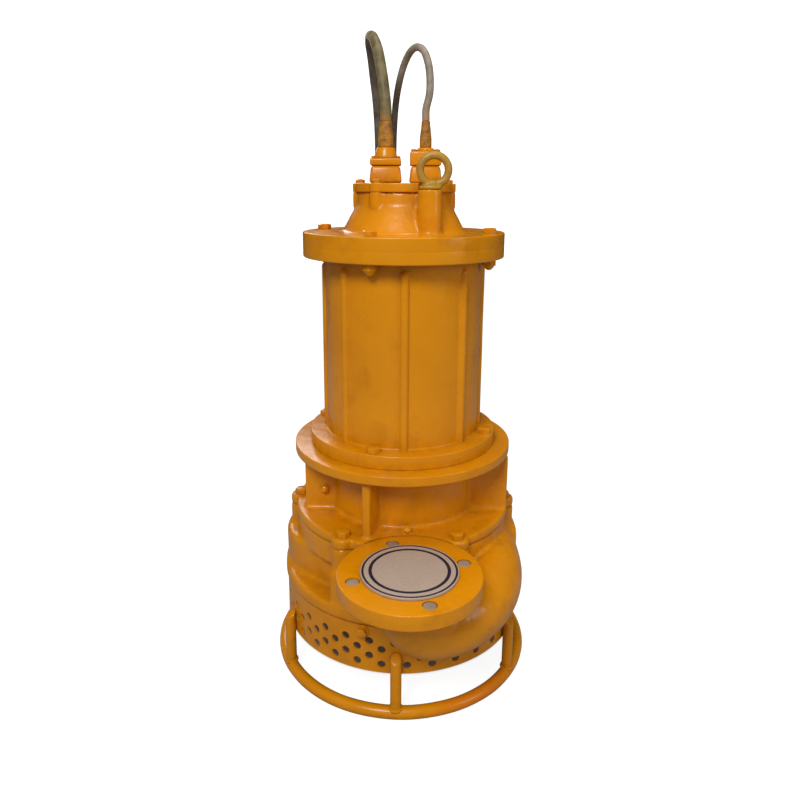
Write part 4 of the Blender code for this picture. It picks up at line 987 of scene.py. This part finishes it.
def branchStations():
    b = branch
    dense = b["dense"]
    stations = []
    rise = Vector(up)
    elbowZ = levels["flange"] - b["depth"]
    flow = around(1, b["heading"])
    elbowStart = Vector((b["x"], b["y"], elbowZ)) - flow * b["bend"]
    hornEnd = math.atan2(elbowStart.y, elbowStart.x) - tau
    hornRadius = elbowStart.xy.length
    for i in range(7 * dense + 1):
        share = i / (7 * dense)
        angle = b["tongue"] + (-tau - b["tongue"]) * share
        half = [a + (c - a) * share for a, c in zip(b["start"], b["end"])]
        radius = b["chamber"] + half[0] - b["lap"]
        mid = levels["casing"] + b["heights"][0] + (b["heights"][1] - b["heights"][0]) * share
        stations.append((around(1, angle) * radius + rise * mid, around(1, angle), rise, *half))
    for i in range(1, 4 * dense):
        share = i / (4 * dense)
        soft = eased(share)
        angle = -tau + (hornEnd + tau) * share
        centre = around(1, angle) * (radius + (hornRadius - radius) * soft)
        centre += rise * (mid + (elbowZ - mid) * share)
        half = [a + (b["bore"] - a) * soft for a in b["end"]]
        stations.append((centre, around(1, angle), rise, *half))
    outward = around(1, b["heading"] + pi / 2)
    for i in range(4 * dense + 1):
        angle = pi / 2 * i / (4 * dense)
        centre = elbowStart + flow * b["bend"] * sin(angle) + rise * b["bend"] * (1 - cos(angle))
        stations.append((centre, outward, rise * cos(angle) - flow * sin(angle), b["bore"], b["bore"]))
    return stations


def branchPipe(grow, first, top):
    stations = branchStations()[first * branch["dense"]:]
    last = stations[-1]
    stations.append((Vector((last[0].x, last[0].y, top)), *last[1:]))
    turns = [tau * (i + 0.5) / branch["sides"] for i in range(branch["sides"])]
    rings = []
    for centre, outward, upward, wide, high in stations:
        wide, high = wide + grow, high + grow
        rings.append([centre + outward * wide * cos(a) + upward * high * sin(a) for a in turns])
    return toMesh(joinRings(rings, caps=True))


def polarPlate(reach, low, top, edge=0.0, steps=256):
    rows = [(0, top), (0, low)]
    if edge:
        bend = [pi / 2 * (1 - k / 4) for k in range(5)]
        rows = [(edge * (1 - cos(a)), top - edge * (1 - sin(a))) for a in bend]
        rows += [(edge * (1 - cos(a)), low + edge * (1 - sin(a))) for a in bend[::-1]]
    turns = [tau * i / steps for i in range(steps)]
    rings = [[around(reach(a) - inset, a, z) for a in turns] for inset, z in rows]
    return toMesh(joinRings([[(0, 0, top)], *rings, [(0, 0, low)]]))


casing = {
    "foot": 0.188,
    "footHigh": 0.0195,
    "volute": 0.186,
    "voluteTop": 0.0695,
    "flank": 0.150,
    "sweep": radians(56),
    "drum": 0.166,
    "lugs": 6,
    "lugStart": -1,
    "lugCircle": 0.163,
    "lug": 0.017,
    "roof": 0.009,
    "floor": 0.0265,
    "suction": 0.0898,
    "spigot": 0.0703,
}
lugPlaces = [around(casing["lugCircle"], a).xy for a in ringOf(casing["lugs"], casing["lugStart"])]


def voluteReach(angle):
    turn = (branch["tongue"] - angle) % tau
    if turn >= casing["sweep"]:
        return casing["volute"]
    return casing["flank"] + (casing["volute"] - casing["flank"]) * eased(turn / casing["sweep"])


def makeCasing():
    c = casing
    low, top = levels["casing"], levels["casingTop"]
    shoulder, ledge = low + c["voluteTop"] - 0.004, low + c["footHigh"]
    flank = c["flank"] - 0.006
    outline = [(0, top), (c["drum"], top), (c["drum"], shoulder), (flank, shoulder), (flank, ledge)]
    core = lathe([*outline, (c["foot"], ledge), (c["foot"], low), (0, low)], 192)
    body = polarPlate(voluteReach, low + c["footHigh"] / 2, low + c["voluteTop"])
    horn = branchPipe(branch["wall"], 2, levels["flange"] - 0.0105)
    lugs = [rod(c["lug"], low + c["voluteTop"] - 0.01, top, place) for place in lugPlaces]
    skin = castSkin([core, body, horn, *lugs], 0.0026, 5, 0.0003, flattener((low, top), 0.182))
    above, below = top + 0.01, low - 0.01
    roof, floor = top - c["roof"], low + c["floor"]
    room, spigot, suction = branch["chamber"], c["spigot"], c["suction"]
    outline = [(0, above), (spigot, above), (spigot, roof), (room, roof), (room, floor)]
    chamber = lathe([*outline, (suction, floor), (suction, below), (0, below)], 96)
    skin = cut(skin, [chamber, branchPipe(0, 0, levels["flange"] + 0.01)])
    x, y = branch["x"], branch["y"]
    bolts = [Vector((x, y)) + around(1, a).xy * branch["boltCircle"] for a in ringOf(4, 18)]
    face, under = levels["flange"], levels["flange"] - branch["thick"]
    outside, inside = branch["flange"], branch["bore"] + 0.0002
    outline = [(outside, face, 0.0014), (outside, under, 0.0022), (inside, under, 0), (inside, face, 0.001)]
    flange = turned(outline, 0.001, 4, 160, (x, y))
    flange = cut(flange, [rod(branch["boltHole"], under - 0.01, face + 0.01, spot, 40) for spot in bolts])
    # a fillet of paint and iron where the elbow meets the flange
    outline = [(0.0455, under + 0.002), (0.056, under + 0.0005), (0.051, under - 0.003)]
    outline += [(0.048, under - 0.008), (0.0455, under - 0.009)]
    collar = lathe(outline, 96, (x, y))
    finished("voluteCasting", gather([skin, flange, collar]), "cast", "volute_casing", sharp=38)
    plug = turned([(0, 0.0), (0.0088, 0.0, 0.001), (0.0092, -0.004), (0, -0.004)], 0.0004, 2, 32)
    spots = [((spot.x, spot.y, face - 0.0012), up) for spot in bolts]
    stamped("flangeHolePlugs", plug, spots, look="putty", spin=0.0)


makeCasing()
print("casing made")

# Discharge cover


def makeDiscCover():
    low = height("discharge_cover", 0)
    top = height("discharge_cover")
    face = top - 0.003
    outline = [
        (0, top), (0.0645, top, 0.0009), (0.0645, face, 0.0005), (0.037, face, 0.0004),
        (0.0365, low, 0.001), (0.033, low, 0.001), (0.0325, face - 0.002, 0.001), (0, face - 0.002),
    ]
    mesh = turned(outline, 0.0005, 3, 160, (branch["x"], branch["y"]))
    finished("dischargeDisc", mesh, "disc", "discharge_cover", "discharge_cover")


makeDiscCover()

# Seal housing

seal = {
    "flange": 0.1685,
    "thick": 0.0137,
    "neck": 0.115,
    "wall": 0.012,
    "pad": 0.0012,
    "blocks": [(0, 0.1625, 0.102), (pi, 0.149, 0.102), (radians(-109), 0.157, 0.0125)],  # angle, reach, width
    "seat": 0.0125,
    "boltHole": 0.0066,
    "holes": (0.0303, 0.0205),  # round the seals and round the shaft
}


def makeSealHousing():
    s = seal
    low, top = levels["seal"], levels["sealTop"]
    ledge = low + s["thick"]
    disc = lathe([(0, ledge), (s["flange"], ledge), (s["flange"], low), (0, low)], 192)
    neck = rod(s["neck"], low + 0.004, top, steps=128)
    spigot = rod(0.070, low - 0.005, low + 0.004, steps=128)
    meshes = [disc, neck, spigot]
    inside = s["neck"] * 0.8
    for angle, reach, width in s["blocks"]:
        length = reach - inside
        place = around((reach + inside) / 2, angle, ledge - 0.003)
        meshes.append(block((length, width, top - ledge + 0.003), place, angle, edge=0.001))
    meshes += [rod(casing["lug"], low, ledge + s["pad"], place) for place in lugPlaces]
    skin = castSkin(meshes, 0.0024, 4, 0.0003, flattener((low, top), 1.0))
    inner, above, below = s["neck"] - s["wall"], top + 0.01, low - 0.02
    floor, step = low + 0.0215, low - 0.0015
    wide, narrow = s["holes"]
    outline = [(0, above), (inner, above), (inner, floor), (wide, floor), (wide, step)]
    room = lathe([*outline, (narrow, step), (narrow, below), (0, below)], 96)
    scallop = rod(branch["flange"] + 0.0022, low - 0.01, ledge + 0.01, (branch["x"], branch["y"]), 128)
    seats = [rod(s["seat"], ledge + s["pad"] - 0.0004, ledge + 0.022, place) for place in lugPlaces]
    bores = [rod(s["boltHole"], low - 0.01, ledge + 0.01, place, 24) for place in lugPlaces]
    skin = cut(skin, [room, scallop, *seats, *bores])
    finished("sealHousingCasting", skin, "cast", "seal_housing", sharp=40)
    head = hexHead(0.0105, 0.0055, washer=0.0072, dome=0.002)
    spots = [
        ((0.0078, -0.1275, ledge + 0.003), (0, -0.55, 0.83)),
        ((-0.119, -0.0525, ledge + 0.033), (0.25, -0.95, 0.1)),
    ]
    stamped("oilPlugs", head, spots)


makeSealHousing()
print("seal housing made")

# Bearing bracket


bracket = {"disc": 0.168, "hub": 0.060, "hubHigh": 0.027, "bearing": 0.0503, "hole": 0.0303, "floor": 0.008}


def makeBracket():
    b = bracket
    low, top = levels["plate"], levels["motor"] - gap
    seat = low + b["floor"]
    hubTop = seat + b["hubHigh"]
    outline = [
        (b["hub"], hubTop), (b["hub"], top, 0.004), (b["disc"], top, 0.0016), (b["disc"], low, 0.0022),
        (b["hole"], low), (b["hole"], seat - gap), (b["bearing"], seat - gap), (b["bearing"], hubTop),
    ]
    finished("bracketPlate", turned(outline, 0.0007, 4, 224), "machined", "bearing_bracket")


makeBracket()

# Motor housing

motor = {
    "foot": 0.144,
    "footHigh": 0.0196,
    "tube": 0.117,
    "bore": 0.1055,
    "ribs": 8,
    "ribStart": -89,
    "rib": 0.0065,
    "ribEnd": 0.0065,
    "flange": 0.1495,
    "flangeHigh": 0.018,
}


def makeMotorHousing():
    m = motor
    low, top = levels["motor"], levels["cover"] - 0.00005
    footTop, seat = low + m["footHigh"], top - m["flangeHigh"]
    ribTop = seat - 0.010
    steps = 512
    ribs = ringOf(m["ribs"], m["ribStart"])
    outer = softProfile(
        [
            (m["bore"], top, 0), (m["flange"], top, 0.0002), (m["flange"], seat, 0.0022),
            (m["tube"], seat, 0.003), (m["tube"], ribTop - 0.012, 0), (m["tube"], footTop + 0.02, 0),
            (m["tube"], footTop, 0.003), (m["foot"], footTop, 0.0018), (m["foot"], low, 0.0008),
            (m["bore"], low, 0),
        ],
        0.001,
        4,
    )
    rows = []
    for here, there in zip(outer, outer[1:]):
        rows.append(here)
        parts = 1
        if abs(here[0] - m["tube"]) < 1e-5 and abs(there[0] - m["tube"]) < 1e-5:
            long = here[1] - there[1]
            parts = max(1, min(12, round(long / 0.0015)))
        rows += [(here[0], here[1] + (there[1] - here[1]) * k / parts) for k in range(1, parts)]
    rows.append(outer[-1])

    def ribReach(angle, z):
        nearest = min(abs((angle - a + pi) % tau - pi) for a in ribs)
        across = nearest * m["tube"]
        fade = 1.0
        above = (z - ribTop + m["ribEnd"]) / m["ribEnd"]  # the rounded end of a rib
        if above > 0:
            fade = math.sqrt(max(0.0, 1 - above**2)) if z < ribTop else 0.0
        size = m["rib"] * fade
        rise = math.sqrt(max(0.0, size**2 - across**2))
        foot = max(0.0, 1 - max(0.0, across - size * 0.9) / 0.003) if fade else 0.0
        return m["tube"] + max(rise - 0.0005, 0.0009 * foot**2 * fade, 0.0)

    rings = []
    for radius, z in rows:
        ring = []
        for i in range(steps):
            a = tau * i / steps
            reach = radius
            if abs(radius - m["tube"]) < 0.003 and footTop - 0.001 < z < seat:
                reach = max(radius, ribReach(a, z))
            ring.append(around(reach, a, z))
        rings.append(ring)
    shape = joinRings(rings, True)
    for vertex in shape.verts:
        if footTop < vertex.co.z < seat and vertex.co.xy.length > m["tube"] - 0.001:
            wave = noise.noise(vertex.co * 14) * 0.0004
            vertex.co += vertex.co.xy.normalized().to_3d() * wave
    finished("ribbedMotorHousing", toMesh(shape), "rolled", "motor_housing", sharp=45)


makeMotorHousing()
print("motor made")

# Upper cover

cover = {
    "flange": 0.1495,
    "flangeHigh": 0.018,
    "base": 0.0925,
    "top": 0.070,
    "lobe": 0.0115,
    "lobeCircle": 0.0645,
    "boss": (0.0359, -0.078),
    "bossRadius": 0.017,
    "eye": (0.0409, -0.078),
    "bearing": (0.031, 0.016),  # radius and height of its seat
}
lobeAngles = ringOf(6, -5)
bossAngle = math.atan2(cover["boss"][1], cover["boss"][0])


def makeUpperCover():
    c = cover
    low, top = levels["cover"], levels["coneTop"]
    ledge = low + c["flangeHigh"]
    outline = [(0, top), (c["top"] - 0.002, top), (c["top"], top - 0.018), (c["base"], ledge - 0.002)]
    cone = lathe([*outline, (c["base"], ledge - 0.006), (0, ledge - 0.006)], 160)
    skirt = rod(c["flange"] - 0.012, ledge - 0.009, ledge, steps=160)
    boss = rod(c["bossRadius"], ledge - 0.003, top + 0.004, c["boss"])
    place = (*(Vector(c["boss"]) * 0.72), ledge - 0.002)
    web = block((0.02, 0.05, top - ledge - 0.004), place, bossAngle + pi / 2, edge=0.002)
    lobes = [rod(c["lobe"], top - 0.022, top, around(c["lobeCircle"], a).xy) for a in lobeAngles]

    def flatten(point):
        if abs(point.z - top) < 0.001:
            point.z = top
        if abs(point.z - ledge) < 0.0012 and point.xy.length > 0.11:
            point.z = ledge - 0.0006
        return point

    skin = castSkin([cone, skirt, boss, web, *lobes], 0.0022, 4, 0.0004, flatten)
    outer, width = c["bearing"]
    seatLow = low - width - 0.004
    outline = [
        (0, ledge), (c["flange"], ledge, 0.0018), (c["flange"], low, 0.0002),
        (outer + 0.009, low, 0.0005), (outer + 0.009, seatLow, 0.001), (outer + 0.0003, seatLow, 0.0005),
        (outer + 0.0003, low, 0), (0, low),
    ]
    disc = turned(outline, 0, 4, 224)
    over, floor = top + 0.01, low + 0.01
    chamber = lathe([(0, over), (0.055, over), (0.055, top - 0.02), (0.0775, floor), (0, floor)], 96)
    lead = rod(0.009, low - 0.01, low + 0.03, (0, 0.056), 32)
    shank = rod(0.0056, top - 0.016, top + 0.014, c["eye"], 24)
    disc = cut(disc, [chamber, lead])
    skin = cut(skin, [chamber.copy(), shank])
    finished("upperCoverCasting", gather([skin, disc]), "cast", "upper_cover", sharp=40)


makeUpperCover()


def lidReach(angle):
    reach = 0.072
    for a in lobeAngles:
        off = (angle - a + pi) % tau - pi
        side = cover["lobeCircle"] * sin(off)
        if abs(off) < 0.6 and abs(side) < cover["lobe"]:
            reach = max(reach, cover["lobeCircle"] * cos(off) + math.sqrt(cover["lobe"] ** 2 - side**2))
    return reach


def makeLid():
    low, top = levels["coneTop"] + 0.00005, levels["lidTop"]
    lid = polarPlate(lidReach, low, top, 0.0014, 360)
    lid = cut(lid, [rod(cover["bossRadius"] + 0.0015, low - 0.01, top + 0.01, cover["boss"], 64)])
    finished("terminalLid", lid, "machined", "terminal_lid", sharp=35)
    head = hexHead(0.012, 0.0055, dome=0.001)
    # the last lobe is behind the eye's boss and has no bolt
    free = [a for a in lobeAngles if abs((a - bossAngle + pi) % tau - pi) > 0.1]
    spots = [(around(cover["lobeCircle"] + 0.0005, a, top - 0.0005), up) for a in free]
    stamped("lidBolts", head, spots)


makeLid()
print("upper cover and lid made")

# Eye bolt


def makeEyeBolt():
    x, y = cover["eye"]
    seat = levels["coneTop"] + 0.0043
    ring, thick = 0.0193, 0.0055
    centre = height("eye_bolt") - ring - thick
    rings = []
    for i in range(56):
        a = tau * i / 56
        turn = []
        for k in range(20):
            b = tau * k / 20
            radius = ring + thick * cos(b)
            turn.append((radius * cos(a), thick * sin(b), radius * sin(a)))
        rings.append(turn)
    hoop = toMesh(joinRings(rings, True))
    hoop.transform(Matrix.Translation((0, 0, centre)))
    high, wide = seat + 0.0066, 0.0158
    outline = [(0, high), (0.0085, high), (wide, seat + 0.0032), (wide, seat), (0, seat)]
    collar = turned(outline, 0.0008, steps=48, centre=(cover["boss"][0] - x, 0))
    throat = lathe([(0, seat + 0.012), (0.0045, seat + 0.012), (0.008, seat + 0.005), (0, seat + 0.005)], 32)
    shank = rod(0.005, seat - 0.018, seat + 0.002, steps=24)
    skin = castSkin([hoop, collar, throat, shank], 0.0009, 3, 0.00012)
    skin.transform(Matrix.Translation((x, y, 0)))
    finished("forgedEyeBolt", skin, "ochre", "eye_bolt", sharp=0)


makeEyeBolt()

# Glands

gland = {
    "base": (0.0475, 0.046),
    "top": (0.042, 0.040),
    "plate": (0.045, 0.042),
    "plateHigh": {"left": 0.0098, "right": 0.0196},
    "drop": 0.0045,  # how far the photograph's joint is below the plain plate's
    "clamp": {"left": (0.0166, 0.0134), "right": (0.0128, 0.0112)},
}


def makeGland(side):
    g = gland
    x = cables[side]["gland"]
    radius = cables[side]["diameter"] / 2
    towerLow = height(side + "_gland_body", 0)
    plateLow = height(side + "_gland_plate", 0) - g["drop"]
    towerHigh = plateLow - 0.0004 - towerLow
    tower = block((*g["base"], towerHigh), (x, 0, towerLow), top=g["top"], edge=0.0042, parts=4)
    finished(side + "GlandTower", tower, "machined", side + "_gland_body", sharp=0)
    plateHigh = g["plateHigh"][side]
    plate = block((*g["plate"], plateHigh), (x, 0, plateLow), edge=0.0022, parts=3)
    finished(side + "GlandPlate", plate, "machined", side + "_gland_plate", sharp=0)
    clampLow, clampHigh = plateLow + plateHigh + 0.0002, height(side + "_cable_clamp")
    low, high = g["clamp"][side]
    outline = [(0, clampHigh), (high, clampHigh), (low, clampLow + 0.003), (low, clampLow), (0, clampLow)]
    clamp = turned(outline, 0.0012, 3, 48, (x, 0))
    finished(side + "CableClamp", clamp, "machined", side + "_cable_clamp")
    sleeveLow, sleeveHigh = height(side + "_cable_sleeve", 0), height(side + "_cable_sleeve")
    thick, thin = radius + 0.0032, radius + 0.0008
    rows = [(0, sleeveHigh), (thin, sleeveHigh, 0.0006)]
    folds = 9
    for k in range(1, folds):
        share = k / folds
        z = sleeveHigh + (sleeveLow - sleeveHigh) * share * 0.72
        wide = thin + (thick - thin) * eased(share)
        rows += [(wide - 0.0003, z + 0.0007, 0.0003), (wide, z, 0.0003)]
    rows += [(thick, sleeveLow, 0.001), (0, sleeveLow)]
    sleeve = turned(rows, 0.0003, 2, 40, (x, 0))
    finished(side + "CableSleeve", sleeve, "sleeve", side + "_cable_sleeve", sharp=60)
    head = hexHead(0.0085, 0.004, dome=0.0008)
    top = plateLow + plateHigh
    spots = [((x + off, 0.0, top - 0.0004), up) for off in (0.0168, -0.0168)]
    stamped(side + "GlandScrews", head, spots)


for side in cables:
    makeGland(side)
print("glands made")

# Bolts of the castings


bolts = {"across": 0.018, "shank": 0.0058, "circle": 0.131, "topStart": -110, "footStart": -108}


def makeBolts():
    across, shank = bolts["across"], bolts["shank"]
    head = hexHead(across, 0.0075, shank)
    places = [around(bolts["circle"], a) for a in ringOf(4, bolts["topStart"])]
    ledge = levels["cover"] + cover["flangeHigh"]
    spots = [((p.x, p.y, ledge + 0.0002), up) for p in places]
    stamped("topFlangeBolts", head, spots, [f"top_flange_bolt_{i + 1}" for i in range(4)])
    under = levels["motorTop"] - motor["flangeHigh"]
    spots = [((p.x, p.y, under - 0.0002), down) for p in places]
    stamped("topFlangeNuts", hexHead(across, 0.0095, dome=0.0065), spots)
    footTop = levels["motor"] + motor["footHigh"]
    turns = ringOf(4, bolts["footStart"])
    spots = [(around(bolts["circle"], a, footTop + 0.0002), up) for a in turns]
    stamped("motorFootBolts", head, spots, [f"motor_foot_bolt_{i + 1}" for i in range(4)])
    seat = levels["seal"] + seal["thick"] + seal["pad"] - 0.0004
    spots = [((*place, seat + 0.0002), up) for place in lugPlaces]
    stamped("casingBolts", hexHead(across, 0.0078, shank), spots, [f"casing_bolt_{i + 1}" for i in range(6)])


makeBolts()
print("bolts made")

# Metal pieces inside and below

metals = {
    "iron": ["impeller", "agitator", "suction_cover"],
    "steel": ["shaft", "agitator_nut"],
    "laminated": ["stator_core", "rotor_core"],
    "copper": ["lower_winding", "upper_winding"],
    "sealFace": ["lower_seal_seat", "upper_seal_seat", "lower_seal_ring", "upper_seal_ring"],
    "putty": ["terminal_block"],
}
for end in ("lower_bearing_", "upper_bearing_"):
    metals["steel"] += [end + piece for piece in ("outer_ring", "inner_ring", "balls")]


def dressNodes():
    for look, nodes in metals.items():
        for obj in bpy.data.objects:
            if obj.type == "MESH" and obj.name in nodes:
                obj.data.materials.clear()
                obj.data.materials.append(looks[look])


dressNodes()
print("metal pieces dressed")
